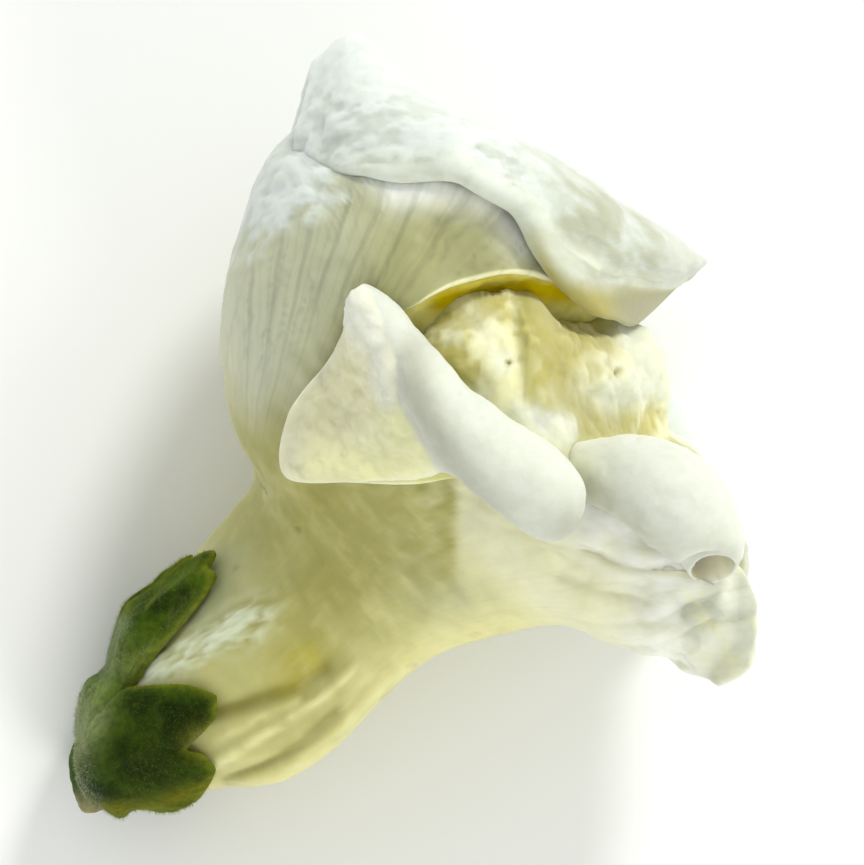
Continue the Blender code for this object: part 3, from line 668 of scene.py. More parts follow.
def add_mesh(name, points, faces, colours, mat, flow=None):
    """Mesh with its tint: red, green, blue and how strong the petal's fine lines are."""
    mesh = bpy.data.meshes.new(name)
    mesh.from_pydata(((points + SHIFT) * MM).tolist(), [], faces)
    layer = mesh.color_attributes.new(name="tint", type="FLOAT_COLOR", domain="POINT")
    if colours.shape[1] == 3:
        colours = np.concatenate((colours, np.zeros((len(colours), 1))), axis=1)
    layer.data.foreach_set("color", colours.ravel())
    if flow is None:
        flow = np.zeros((len(points), 2))
    corner = np.empty(len(mesh.loops), dtype=np.int32)
    mesh.loops.foreach_get("vertex_index", corner)
    mesh.uv_layers.new(name="flow").data.foreach_set("uv", flow[corner].ravel())
    mesh.polygons.foreach_set("use_smooth", [True] * len(mesh.polygons))
    mesh.materials.append(mat)
    mesh.update()
    piece = bpy.data.objects.new(name, mesh)
    bpy.context.scene.collection.objects.link(piece)
    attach(piece, "root")
    return piece


def quads(rows, columns, closed, flip, offset=0):
    wrap = columns if closed else columns - 1
    i, j = np.meshgrid(np.arange(rows - 1), np.arange(wrap), indexing="ij")
    k = (j + 1) % columns
    face = np.stack((i * columns + j, i * columns + k, (i + 1) * columns + k,
                     (i + 1) * columns + j), axis=-1).reshape(-1, 4) + offset
    return face[:, ::-1] if flip else face


def sheet_faces(rows, columns, closed, flip):
    """Faces of two grids that lie back to back, and of the bands that join their margins."""
    count = rows * columns
    faces = [quads(rows, columns, closed, flip), quads(rows, columns, closed, not flip, count)]
    index = np.arange(count).reshape(rows, columns)
    rims = [(index[0], False), (index[-1], True)]
    if not closed:
        rims += [(index[:, 0], True), (index[:, -1], False)]
    for rim, other in rims:
        a, b = rim, np.roll(rim, -1)
        if not closed:
            a, b = rim[:-1], rim[1:]
        band = np.stack((a, a + count, b + count, b), axis=-1)
        faces.append(band[:, ::-1] if other != flip else band)
    return np.concatenate(faces)


def petal(name, grid, tint, mat, side=1, closed=False, outer=0.3, inner=0.1, skin=0.0, fold=0.0,
          tint_in=None, lines=0.0, flow=None):
    """Petal with two faces and rounded margins round a grid of points.

    side turns the grid's normals to the outer face, fold moves both faces and skin only the outer
    one. outer and inner say how far the faces lie from the grid.
    """
    normal = grid_normals(grid, closed) * side
    grid = grid + normal * np.asarray(fold)[..., None] if np.ndim(fold) else grid
    normal = grid_normals(grid, closed) * side
    outer, inner = (np.broadcast_to(value, grid.shape[:2]) for value in (outer, inner))
    half = (outer + inner) / 2
    round_off = dome(margin_distance(grid, closed, ("first", "last")) / half, 0.02)
    middle = grid + normal * ((outer - inner) / 2)[..., None]
    thick = half * round_off
    top = middle + normal * (thick + np.maximum(skin, SKIN_DEEPEST * half) * round_off)[..., None]
    base = middle - normal * thick[..., None]
    for face in (top, base):
        face[..., 2] = np.maximum(face[..., 2], GROUND + LIFT)
    faces = sheet_faces(*grid.shape[:2], closed, side < 0)
    tint = np.broadcast_to(tint, grid.shape).reshape(-1, 3)
    tint_in = tint if tint_in is None else np.broadcast_to(tint_in, grid.shape).reshape(-1, 3)
    colours = np.clip(np.concatenate((tint, tint_in)), 0, 1)
    lines = np.broadcast_to(lines, grid.shape[:2]).reshape(-1, 1)
    colours = np.concatenate((colours, np.concatenate((lines, lines * 0.5))), axis=1)
    if flow is not None:
        flow = np.concatenate((flow.reshape(-1, 2),) * 2)
    points = np.concatenate((top.reshape(-1, 3), base.reshape(-1, 3)))
    return add_mesh(name, points, faces.tolist(), colours, mat, flow)


def curled(grid, radius, turn, count, side):
    """Grid whose last row rolls under: an arc of rows is added past it."""
    ahead = unit(grid[-1] - grid[-2])
    under = -grid_normals(grid, False)[-1] * side
    radius = np.broadcast_to(radius, grid.shape[1])[:, None]
    arc = [grid[-1] + radius * (math.sin(a) * ahead + (1 - math.cos(a)) * under)
           for a in np.radians(steps(0, turn, count + 1))[1:]]
    return np.concatenate((grid, arc))


def extended(values, count):
    """The last row again count times, for the arc of rows that curled adds."""
    return np.concatenate((values, np.repeat(values[-1:], count, axis=0)))


def station_rings(stations):
    """Oval rings of points from their centres, directions and half sizes."""
    rings = []
    for centre, direction, half_height, half_depth in stations:
        up = np.array((math.cos(math.radians(direction)), math.sin(math.radians(direction)), 0))
        ring = []
        for i in range(RING_POINTS):
            turn = math.radians(DORSAL_TURN + 360 * i / RING_POINTS)
            ring.append(np.array(centre) + half_depth * math.cos(turn) * np.array((0, 0, 1.0))
                        + half_height * math.sin(turn) * up)
        rings.append(ring)
    return rings


SHELL_RINGS = np.array(station_rings(TUBE) + [LIP_ROOTS, LIP_LOWER, LIP_UPPER, LIP_FRONT, LIP_EDGE])


def rippled(grid, rows, columns, height, waves, closed):
    """Grid whose last rows wave in and out, as the margin of a petal does."""
    grow = (rows / rows[-1]) ** RIPPLE_POWER
    wave = np.sin(waves * math.tau * columns)
    return grid + height * (grow[:, None] * wave[None, :])[..., None] * grid_normals(grid, closed)


def outward(grid):
    away = grid - grid.mean(axis=1, keepdims=True)
    return away / np.linalg.norm(away, axis=2, keepdims=True)


def angle_between(turn, other):
    return (turn - other + 180) % 360 - 180


def ribs(levels, turns):
    along = np.exp(-((levels - RIBS_AT) / RIBS_SPREAD) ** 2)
    across = sum(height * np.exp(-(angle_between(turns, turn) / width) ** 2)
                 for turn, height, width in TUBE_RIBS)
    return along[:, None] * across[None, :]


def ridges(phase, width):
    """1 on each whole number of phase, falling to 0 beside it."""
    off = phase - np.round(phase)
    return np.exp(-(off / width) ** 2)


def ragged(grid):
    """Slanted tufts of noise, for the rough white of the hood's crown and the upper lobes."""
    return lumps(grid * (0.7, 1.4, 1), 0.8, 3, 25)


# The corolla's shell: tube, hood and skirt

def shell_zones(grid, level, column):
    """Where the shell's parts are, from 0 to 1, and how its veins fan out from their foot."""
    facing = -grid_normals(grid, True)[..., 2]
    away = grid[..., :2] - mm(VEIN_FOOT)
    return SimpleNamespace(
        level=level, column=column,
        hood=smooth(column, 0.1, 0.7) * smooth(-column, -5.9, -5.3) * smooth(level, 4.6, 5.8),
        skirt=smooth(column, 6.2, 6.8) * smooth(level, 5.0, 6.5),
        near=smooth(facing, -0.1, 0.3), facing=smooth(facing, 0.25, 0.6),
        ray=np.arctan2(away[..., 0], away[..., 1]) / VEIN_SPREAD,
        reach=np.hypot(away[..., 0], away[..., 1]), sway=noise(grid, 3.5, 2) * 0.16)


def hood_veins(grid, zones):
    """Veins and their twigs, fanned over the side of the hood that faces the eye and behind it."""
    sway = zones.sway
    veins = ridges(zones.ray * 3.0 + sway * 1.5 + 0.15 * noise(grid, 1.2, 9), 0.07)
    twigs = ridges(zones.ray * 6.0 + 0.5 + sway * 4 + 0.3 * noise(grid, 0.8, 8), 0.09)
    veins = np.maximum(veins, twigs * smooth(zones.reach, 7.0, 9.0)) * zones.hood
    veins = veins * smooth(lumps(grid, 2.2, 3, 30), -0.5, 0.35) * zones.facing
    behind = ridges(zones.column * 3.0 + sway * 2 + 0.12 * noise(grid, 1.2, 9), 0.06)
    behind += ridges(zones.column * 6.0 + 0.5 + sway * 3, 0.07) * smooth(zones.level, 6.0, 7.5)
    return np.maximum(veins, 0.8 * behind * zones.hood * (1 - zones.facing))


def shell_folds(grid, zones):
    """How far both faces move out: pleats, fans, soft lumps and room for the lobes."""
    level, column, hood, skirt = zones.level, zones.column, zones.hood, zones.skirt
    pleats = np.cos(2 * math.pi * (zones.ray * 2.4 + zones.sway * 4)) * smooth(zones.ray, 0.7, 1.4)
    fans = np.cos(2 * math.pi * (column * 2.6 + 0.35 * noise(grid, 2.2, 5)))
    fine = np.cos(2 * math.pi * (column * 5.5 + 0.5 * noise(grid, 1.4, 6)))
    calm = 1 - 0.8 * spot(grid, *SKIRT_TIP)
    fold = 0.12 * pleats * hood * smooth(level, 5.8, 7.2) * (1 - 0.7 * smooth(level, 8.2, 9))
    fold += 0.10 * fans * skirt * smooth(level, 6.4, 8.0) * calm
    fold += 0.012 * fine * skirt * smooth(level, 6.0, 7.4) * calm
    fold += 0.17 * lumps(grid, 1.7, 4, 12) * skirt * smooth(level, 5.6, 7.0) * calm
    fold += 0.07 * lumps(grid, 2.6, 3, 1)
    fold += 0.10 * np.sin(column * 5.1 + 2 * noise(grid, 4, 7)) * smooth(level, 8.5, 9.0) * hood
    fold -= 0.7 * np.exp(-(np.linalg.norm(grid - BEHIND_LOBES, axis=-1) / 2.2) ** 2)
    fold -= 0.6 * stroke(grid, *NEAR_LOBE_BED) * zones.near
    fold += 0.42 * stroke(grid, *UPPER_LOBES_BED) * hood * zones.facing
    return fold


def shell_marks(grid, zones):
    """The shell's own marks, each about 0 to 1."""
    return SimpleNamespace(
        veins=hood_veins(grid, zones), rib=drawn(grid, RIBS), groove=drawn(grid, GROOVES),
        beads=0.85 + 0.8 * noise(grid, 0.5, 14), crumple_and_highlight=stroke(grid, *CRUMPLE_AND_HIGHLIGHT) * zones.near,
        weave=lumps(grid @ WEAVE_ACROSS, 0.75, 3, 11), folds_and_shade=drawn(grid, SKIRT_FOLDS_AND_SHADE),
        crest=stroke(grid, *SKIRT_CREST), dimple=drawn(grid, DIMPLES),
        corner=spot(grid, *SKIRT_CORNER) * zones.skirt)


def shell_skin(grid, zones, marks):
    """How far the outer face alone moves out."""
    near, skirt = zones.near, zones.skirt
    skin = marks.crumple_and_highlight * (0.06 + 0.24 * marks.weave)
    skin += near * (0.24 * marks.rib * marks.beads - 0.22 * marks.groove)
    skin += 0.02 * marks.veins + 0.03 * lumps(grid, 0.55, 2, 4)
    skin -= 0.14 * marks.folds_and_shade * near * skirt
    skin += 0.16 * marks.crest * near * skirt
    skin -= 0.10 * marks.dimple * near
    return skin


def shell_moved(grid, zones, corner):
    """Grid with the skirt's corner rounded, its right end tucked in and its edge let out."""
    round_off = sum(np.roll(grid, k, axis=1) for k in range(-7, 8)) / 15
    grid = grid * (1 - corner[..., None]) + round_off * corner[..., None]
    column = zones.column
    tuck = drawn(grid, SKIRT_TUCK)
    tuck *= smooth(column, 5.9, 6.4) * smooth(-column, -7.9, -7.4) * smooth(zones.level, 6.4, 7.4)
    grid[..., :2] += tuck[..., None] * (-0.6, -0.8)
    grid[..., :2] += (spot(grid, *SKIRT_BULGE) * zones.skirt)[..., None] * (0.5, -0.3)
    grid[..., :2] += (spot(grid, *SKIRT_DENT) * zones.skirt)[..., None] * (-0.4, 0.05)
    return grid


def shell_base(grid, zones, folds_and_shade):
    """Colours of the tube, the skirt and the hood, without their marks, but with painted shade and
    painted backlight.
    """
    level, near, skirt, hood = zones.level, zones.near, zones.skirt, zones.hood
    front = smooth(-level, -5.6, -4.4)
    # The hood's flank: its own grey-green, made darker as painted shade under the upper lobes
    tint = blend(TUBE_PALE, FLANK_SHADED, smooth(level, 4.2, 6.0) * (1 - skirt))
    # Painted shade: darker olive across the middle of the tube
    tint = wash(tint, TUBE_SHADE_OLIVE, spot(grid, *TUBE_SHADE) * near * front * 0.95)
    # Painted shade: grey along the tube's upper left side, which faces away from the key lamp
    tint = wash(tint, TUBE_GREY_SHADE, stroke(grid, *TUBE_BACK_SHADE) * near * 0.8, front)
    # Painted backlight: a pale yellow glow along the tube's lower edge
    tint = wash(tint, TUBE_BACKLIGHT_GLOW, stroke(grid, *TUBE_EDGE_BACKLIGHT) * near * 0.9)
    tint = blend(tint, SKIRT_BASE, skirt * smooth(level, 5.4, 6.4))
    pale = skirt * smooth(grid[..., 0], 8.5, 13.0)
    tint = blend(tint, SATIN, np.maximum(skirt * smooth(level, 6.9, 8.2), pale))
    # Painted shadow along the skirt's creases
    tint = wash(tint, SKIRT_CREASE_SHADE, folds_and_shade * 0.6 * near * skirt)
    # Painted shade on the right of the skirt, plus a random grey mottle
    shade_and_mottle = drawn(grid, SKIRT_SHADE_MARKS) + 0.6 * smooth(lumps(grid, 1.2, 3, 13), 0.0, 0.6)
    tint = wash(tint, SKIRT_GREY_SHADE, shade_and_mottle * 0.8, pale)
    tint = wash(tint, FLANK_PALE, spot(grid, *HOOD_LOW) * hood * 0.7)
    # Painted shade on the hood towards its margin
    tint = blend(tint, HOOD_RIM_SHADE, hood * smooth(level, 7.2, 8.3) * 0.85)
    return wash(tint, HOOD_WHITE, stroke(grid, *HOOD_GLEAM) * hood * 1.2)


def shell_wall(tint, grid, zones, weave):
    """Tint with painted shade under the near lobe, on the wall where tube and throat meet."""
    near, level, bare = zones.near, zones.level, 1 - zones.hood
    x, y = grid[..., 0], grid[..., 1]
    # Painted shadow on the tube under the near lobe's lower edge
    tint = wash(tint, OLIVE, stroke(grid, *EAVE_SHADOW) * near * 0.7 * smooth(-level, -6.4, -5.0))
    # Painted shade on the wall under the near lobe, left of its roll
    wall = near * smooth(-level, -6.2, -5.0) * bare
    side = smooth(-x, *WALL_FADE) * smooth(y, -7.5, -4.5)
    tint = wash(tint, TUBE_SHADE_OLIVE, wall * side * 0.85)
    # Painted shade on the tube just under the near lobe's panel
    shelf = near * bare * smooth(-x, -2.45, -1.75) * smooth(x, -5.5, -2.0)
    shelf = shelf * smooth(y, -9.3, -6.0)
    tint = wash(tint, SHELF_SHADE_OLIVE, shelf * (0.8 + 0.3 * weave))
    streak = lumps(grid @ STREAK_ACROSS, 0.9, 4, 15)
    bare = near * bare * smooth(level, 2.5, 3.5)
    tint = wash(tint, STREAK_DARK, streak * 0.30, bare * (1 - zones.skirt))
    return wash(tint, STREAK_PALE, -streak * 0.30, bare)


def shell(mat):
    rows = np.concatenate((steps(0, 4, 46)[:-1], fine_steps(4, 9, 92)))
    columns = np.arange(FINE_COLUMNS) * RING_POINTS / FINE_COLUMNS
    grid = net(SHELL_RINGS, rows, columns, closed=True)
    turns = DORSAL_TURN + columns * RING_STEP
    grid += outward(grid) * ribs(rows, turns)[..., None]
    grid = rippled(grid, rows, columns / RING_POINTS, *LIP_RIPPLE, True)
    zones = shell_zones(grid, *np.meshgrid(rows, columns, indexing="ij"))
    level, near, skirt, hood = zones.level, zones.near, zones.skirt, zones.hood
    marks = shell_marks(grid, zones)
    fold = shell_folds(grid, zones)
    skin = shell_skin(grid, zones, marks)
    grid = shell_moved(grid, zones, marks.corner)

    tint = shell_base(grid, zones, marks.folds_and_shade)
    rag = ragged(grid)
    crown = smooth(grid[..., 1] - 0.55 * grid[..., 0] + 0.9 * rag, 12.6, 14.6) * hood
    # Grey in the dips of the crown's ragged relief: partly mottled tone, partly painted shade
    tint = blend(tint, blend(WHITE, MOTTLE_DIP_SHADE, smooth(-rag, -0.2, 0.5) * 0.6), crown)
    skin += crown * 0.16 * rag * zones.facing
    skin -= 0.3 * spot(grid, *CROWN_NICK) * hood
    tint = blend(tint, CREAM, hood * smooth(level, 8.94, 8.98))
    ochre = spot(grid, *OCHRE_PATCH) * near
    tint = wash(tint, GROOVE_OLIVE, marks.groove * 0.85, near)
    tint = blend(tint, OCHRE, np.clip(ochre * (0.95 + 0.4 * marks.weave), 0, 0.9))
    # Painted highlight on the crumpled patch at the tube's base
    tint = wash(tint, CRUMPLE_HIGHLIGHT, marks.crumple_and_highlight * (0.6 + 1.1 * marks.weave))
    tint = wash(tint, RIB_PALE, marks.rib * marks.beads * 0.95, near)
    tint = wash(tint, DIMPLE_BROWN, marks.dimple * 0.8 * near)
    tint = shell_wall(tint, grid, zones, marks.weave)
    tint = tint * (1 - marks.veins * (1 - crown) * 0.19)[..., None]
    inside = blend(tint, GOLD, 0.25 * smooth(-level, -8.6, -6.0))
    lines = 0.85 * hood * smooth(-level, -9, -8.4) * (1 - crown) * zones.facing + 0.14 * skirt
    lines += 0.12 * (1 - hood) * (1 - skirt) * smooth(level, 2.6, 3.6)
    flow = np.where(hood[..., None] > 0, np.stack((zones.ray, zones.reach * 0.12), axis=-1),
                    np.stack((zones.column, level * 0.5), axis=-1))
    thin = 1 - 0.55 * marks.corner
    return petal("corolla_shell", grid, tint, mat, side=-1, closed=True, skin=skin, fold=fold,
                 outer=0.3 * thin, inner=0.08 * thin, tint_in=inside, lines=lines, flow=flow)


# The corolla's lobes, palate and mouth

def end_last(values):
    """Columns as rows, in the opposite order, so that the left end is the last row."""
    return np.swapaxes(values, 0, 1)[::-1]


def end_back(values):
    """Undoes end_last."""
    return np.swapaxes(values, 0, 1)[:, ::-1]


def upper_lip_grid():
    """Grid of the two upper lobes with its margin rolled under and its right end closed to a tip.

    On the right the underside runs back to the hood's margin instead.
    """
    rows, columns = fine_steps(0, 4, 90), fine_steps(0, 5, 170)
    grid = net(np.array(LOBES), rows, columns)
    height, waves = LOBES_RIPPLE
    grid = rippled(grid, rows, columns * 0.19, height * 0.4, waves, False)
    normal = grid_normals(grid, False)
    sink = 0.45 * (np.clip(rows - 2.9, 0, 2) / 1.1)[:, None] ** 2
    grid = grid + normal * sink[..., None]
    edge = grid[-1]
    bend = 0.1 + 0.3 * smooth(edge[:, 0], -3.0, 0.0) * smooth(-edge[:, 0], -13.4, -11.0)
    ahead = unit(edge - grid[-2])
    turn_in = edge + ahead * 1.3 * smooth(5 - columns, 0, 1.2)[:, None]
    home = spline(LIP_UNDERSIDE, columns * 2)
    under = smooth(columns, 2.7, 3.5)[:, None]
    grid = curled(grid, bend, 170, LIP_ARC, -1)
    for k in range(1, LIP_ARC + 1):
        share = k / LIP_ARC
        way = edge * (1 - share) ** 2 + turn_in * 2 * share * (1 - share) + home * share ** 2
        row = rows.size + k - 1
        grid[row] = grid[row] * (1 - under) + way * under
    level, column = (extended(values, LIP_ARC) for values in np.meshgrid(rows, columns, indexing="ij"))
    close = dome((5 - columns) / 0.55, 0.002)
    away = grid - RIGHT_TIP
    along = (away @ RIGHT_KEEL)[..., None] * RIGHT_KEEL
    grid = RIGHT_TIP + along + (away - along) * close[None, :, None]
    grid = end_back(curled(end_last(grid), 0.3, 150, LIP_END, -1))
    level, column = (end_back(extended(end_last(values), LIP_END)) for values in (level, column))
    return grid, level, column, np.arange(len(grid))[:, None] - rows.size, close


def upper_lobes(mat):
    grid, level, column, below, close = upper_lip_grid()
    x = grid[..., 0]
    right = smooth(x, 4.5, 8.0) * smooth(level, 2.0, 3.0)
    right = right * smooth(-x, -13.8, -11.5)
    fold = 0.12 * lumps(grid, 3.0, 2, 21)
    streaks = lumps(grid @ LIP_STREAKS_ACROSS, 0.8, 4, 24)
    rag = ragged(grid)
    skin = 0.04 * lumps(grid, 0.7, 3, 23)
    skin += right * 0.10 * streaks
    skin += smooth(level, 1.8, 3.0) * (1 - right) * 0.12 * rag
    skin += 0.35 * spot(grid, *WART) * smooth(level, 2.6, 3.0)
    skin -= 0.35 * spot(grid, *CREST_NICK) * smooth(level, 3.0, 3.4)
    tint = wash(WHITE, LIP_STREAK, right * (0.8 + 0.6 * streaks))
    # Grey in the dips of the ragged relief: partly mottled tone, partly painted shade
    mottle = smooth(rag, 0.2, -0.5)
    tint = blend(tint, MOTTLE_DIP_SHADE, mottle * (1 - right) * smooth(level, 1.9, 3.1) * 0.5)
    tint = blend(tint, FLANK_PALE, 0.3 * smooth(level, 3.7, 4.0))
    # Painted highlight on the wart at the right of the upper lobes
    tint = wash(tint, WART_HIGHLIGHT_CREAM, spot(grid, *WART_HIGHLIGHT))
    tint = blend(tint, TIP_GREY, 0.8 * smooth(x, 11.0, 13.2))
    # Painted shade on the underside rolled in under the upper lip, greyer under its tip
    underside_shade = smooth(below, 3, 12) * smooth(column, 2.9, 3.5)
    tint = blend(tint, LIP_UNDER_SHADE, 0.9 * underside_shade)
    tint = blend(tint, LIP_TIP_UNDER_SHADE, underside_shade * smooth(x, 9.0, 10.4))
    skin = skin * smooth(-below, -8, 6)
    thin = 0.2 + 0.8 * np.concatenate((np.ones(LIP_END), close))[None, :]
    return petal("corolla_upper_lobes", grid, tint, mat, side=-1, skin=skin * thin, fold=fold * thin,
                 outer=0.32 * thin, inner=0.1 * thin)


def rolled(root, axis, radius, side, rows, lead_steps, turns, close=(0, 0), slant=0.0,
           pull=(0, 0, 0)):
    """Lobe that leaves its root line and rolls outwards round an axis.

    close says how far from both ends the roll narrows to a dome, slant cuts the last end open
    towards the eye, and pull draws the root's last point in.
    """
    last = len(axis) - 1
    at = fine_steps(0, last, rows)
    root = spline(root, at) + smooth(at, last - 1, last)[:, None] * np.array(pull)
    centre = spline(axis, at)
    radius = spline(np.array(radius)[:, None], at)[:, 0]
    for gap, away in zip(close, (at, last - at)):
        if gap:
            radius = radius * dome(away / gap, 0.004)
    part = np.concatenate((np.arange(lead_steps) / lead_steps,
                           1 + (turns - turns[0]) / (turns[-1] - turns[0])))
    turns = np.radians(turns)
    out = np.array((0, 0, side))
    grid = []
    for i in range(len(at)):
        ahead = centre[min(i + 1, len(at) - 1)] - centre[max(i - 1, 0)]
        right = np.array((-ahead[1], ahead[0], 0.0))
        right /= np.linalg.norm(right)
        ahead = ahead / np.linalg.norm(ahead)
        cut = slant * float(smooth(at[i], last - 1.2, last))
        curl = [centre[i] + radius[i] * (math.cos(t) * right + math.sin(t) * out)
                - cut * (math.sin(t) + 0.3) * ahead for t in turns]
        lead = [root[i] + (curl[0] - root[i]) * k / lead_steps for k in range(lead_steps)]
        grid.append(lead + curl)
    return np.array(grid), np.broadcast_to(part, (len(at), len(part))), at


def lead_share(part):
    """1 on the lobe's lead, from its root to where the roll starts, and 0 on the roll."""
    return smooth(-part, -1.15, -0.85)


def near_lobe_grid():
    """Grid of the near lobe, each point's part of the way round, and how far its roll is opened up.

    On the left the roll is opened up into an apron, down to the petal's own left and lower edges.
    """
    root = np.array(NEAR_ROOT)
    root[7:9] += (0.6, 0.75, 0)
    turns = np.concatenate((steps(ROLL_TURNS[0], 150, 60)[:-1], steps(150, ROLL_TURNS[1], 86)))
    grid, part, at = rolled(root, NEAR_AXIS, np.array(NEAR_RADIUS) * NEAR_SLIMMER, 1, 170, NEAR_LEAD,
                            turns, close=(0, 0.7), pull=(-1.0, 1.3, 0.6))
    brow = grid[:, NEAR_BROW]
    down = unit(brow - grid[:, NEAR_BROW - 1])
    first, last = grid[:, 0], grid[:, NEAR_LEAD]
    flat = (last - first)[:, :2]
    reach = np.full(len(at), 1.0)
    for _ in range(6):
        crease = brow + down * reach[:, None]
        share = ((crease - first)[:, :2] * flat).sum(axis=1) / (flat ** 2).sum(axis=1)
        bed = first[:, 2] + np.clip(share, 0, 1) * (last - first)[:, 2]
        reach = np.clip(reach + (crease[:, 2] - bed - 0.6) * 0.8, 0.2, 2.6)
    crease = brow + down * reach[:, None]
    grow = steps(0, 1, grid.shape[1] - NEAR_BROW)[None, :, None]
    home = first + (0, 0, 0.26)
    apron = (brow[:, None] * (1 - grow) ** 2 + crease[:, None] * 2 * grow * (1 - grow)
             + home[:, None] * grow ** 2)
    open_up = 1 - smooth(at, 5.0, 6.4)[:, None]
    grid[:, NEAR_BROW:] = (grid[:, NEAR_BROW:] * (1 - open_up[..., None])
                           + apron * open_up[..., None])
    grid = NEAR_CAP + (grid - NEAR_CAP) * dome(at / 0.7, 0.002)[:, None, None]
    return grid, part, at, open_up


def near_lobe(mat):
    grid, part, at, open_up = near_lobe_grid()
    columns = grid.shape[1]
    past = np.maximum(np.arange(columns) - NEAR_BROW, 0) / (columns - 1 - NEAR_BROW)
    lead = lead_share(part)
    bound = mm(PANEL_BORDER)
    left = np.interp(-grid[..., 1], -bound[:, 1], bound[:, 0]) - grid[..., 0]
    apron = open_up * smooth(part, 1.4, 1.45) * smooth(left, -0.1, 0.35)
    panel = np.maximum(lead, apron)
    stretch = grid @ PANEL_ACROSS
    fold = 0.10 * lumps(grid, 2.2, 3, 31)
    wrinkle = lumps(stretch, 1.3, 4, 32)
    fine = lumps(stretch * (0.7, 1.3, 1), 0.6, 3, 37)
    skin = apron * (0.05 * wrinkle + 0.07 * fine) * (1 - smooth(past, 0.9, 1.0))
    skin += 0.03 * lumps(grid, 0.6, 3, 33)
    skin -= open_up * (1 - lead) * 0.16 * stroke(grid, PANEL_BORDER[2:], 0.3)
    skin += (1 - panel) * 0.05 * lumps(grid, 1.9, 2, 34)
    skin -= apron * 0.05 * drawn(grid, PANEL_CREASES)
    grey = stroke(grid, *NEAR_SHADE)
    grey = grey * (0.8 + 0.35 * noise(grid, 1.6, 38)) + spot(grid, *NEAR_SHADE_END)
    tint = wash(ROLL, ROLL_SHADE, grey * 0.9)
    # Painted shade in the panel's wrinkles: darker where the same noise dents it
    shade = wash(PANEL_WRINKLE_SHADE, PANEL, 0.5 + 0.4 * wrinkle + 0.4 * fine)
    shade = wash(shade, BEIGE, spot(grid, *PANEL_BEIGE) * (0.7 + 0.3 * wrinkle))
    # Painted backlight glow on the panel's lower part
    shade = wash(shade, PANEL_BACKLIGHT_GOLD, stroke(grid, *PANEL_GLOW) * 1.1)
    tint = blend(tint, shade, panel)
    tint = wash(tint, PANEL_TOP, drawn(grid, PANEL_WHITE), panel)
    # Painted shadow on the lead strip under the lower end of the roll
    tint = blend(tint, OLIVE, lead * smooth(at, 5.8, 6.6)[:, None] * 0.6)
    thin = 1 - open_up * np.maximum(0.6 * lead, 0.6 * smooth(past, 0.8, 1.0))
    return petal("corolla_near_lobe", grid, tint, mat, skin=skin, fold=fold,
                 outer=0.3 * thin, inner=0.1 * thin)


def middle_lobe(mat):
    grid, part, at = rolled(MIDDLE_ROOT, MIDDLE_AXIS, np.array(MIDDLE_RADIUS) * 0.92, 1, 130, 34,
                            steps(*ROLL_TURNS, 120), close=(0.9, 0), slant=0.75)
    lead = lead_share(part)
    fold = 0.10 * lumps(grid, 2.4, 3, 41)
    skin = 0.025 * lumps(grid, 0.6, 3, 43) + (1 - lead) * 0.05 * lumps(grid, 2.0, 2, 44)
    tint = wash(ROLL, CREAM, 0.4 * spot(grid, *MIDDLE_WARM))
    tint = wash(tint, ROLL_GREY, stroke(grid, *MIDDLE_SHADE) * 0.8)
    tint = blend(tint, CREAM, lead * 0.7)
    tint = wash(tint, ROLL_GREY, spot(grid, *SCROLL_SHADE) * (1 - lead), 0.6)
    # Painted shade in the hollow of the scroll's open end, on the inner face
    hollow_shade = blend(SCROLL_PALE, SCROLL_SHADE_DARK, spot(grid, *SCROLL_HOLLOW_SHADE))
    thin = 1 - 0.6 * smooth(at, 5.2, 6.0)[:, None]
    return petal("corolla_middle_lobe", grid, tint, mat, skin=skin, fold=fold,
                 outer=0.3 * thin, inner=0.1 * thin, tint_in=hollow_shade)


def far_lobe(mat):
    grid, part, _ = rolled(FAR_ROOT, FAR_AXIS, FAR_RADIUS, -1, 110, 40, steps(*ROLL_TURNS, 100),
                           close=(0.5, 0.5))
    fold = 0.12 * lumps(grid, 2.4, 3, 51)
    skin = 0.02 * lumps(grid, 0.5, 2, 53)
    tint = blend(WHITE, CREAM, lead_share(part) * 0.7)
    return petal("corolla_far_lobe", grid, tint, mat, side=-1, skin=skin, fold=fold)


def palate_grid():
    """Hump with its bosses, then the face of the lower lip, with each point's turn round the hump.

    The face leaves the hump at the slope that the solid has there.
    """
    sides = fine_steps(*PALATE_REACH, 150)
    turns = steps(*PALATE_TURNS, 96)
    boss = sum(np.exp(-((sides - s * BOSS_SIDE) / BOSS_WIDTH) ** 2) for s in (-1, 1))
    grid = []
    for turn in np.radians(turns):
        radius = PALATE_RADIUS + BOSS_HEIGHT * boss * max(0.0, math.sin(turn + BOSS_LEAN))
        radius = radius - PALATE_TAPER * np.maximum(0.0, np.abs(sides) - PALATE_SHOULDER)
        grid.append(PALATE_CENTRE + radius[:, None] * (math.cos(turn) * FORWARD
                    + math.sin(turn) * DORSAL) + sides[:, None] * ACROSS)
    edge = spline(FACE_EDGE, (sides - sides[0]) / (sides[-1] - sides[0]) * (len(FACE_EDGE) - 1))
    start = grid[-1]
    sweep = PALATE_TURNS[0] - PALATE_TURNS[1]
    slope = (grid[-1] - grid[-2]) / (turns[0] - turns[1]) * sweep / (PALATE_ROWS - 1)
    for k in range(1, FINE_FACE_ROWS + 1):
        share = k / FINE_FACE_ROWS
        straight = start + slope * FACE_ROWS * share
        grid.append(straight * (1 - share) ** 2 + edge * (1 - (1 - share) ** 2))
    grid = np.array(grid)
    grid[..., 2] -= 1.6 * smooth(grid[..., 1], 6.2, 6.9)
    turn = np.concatenate((turns, PALATE_TURNS[1] - steps(0, 60, FINE_FACE_ROWS)))
    return grid, np.broadcast_to(turn[:, None], grid.shape[:2])


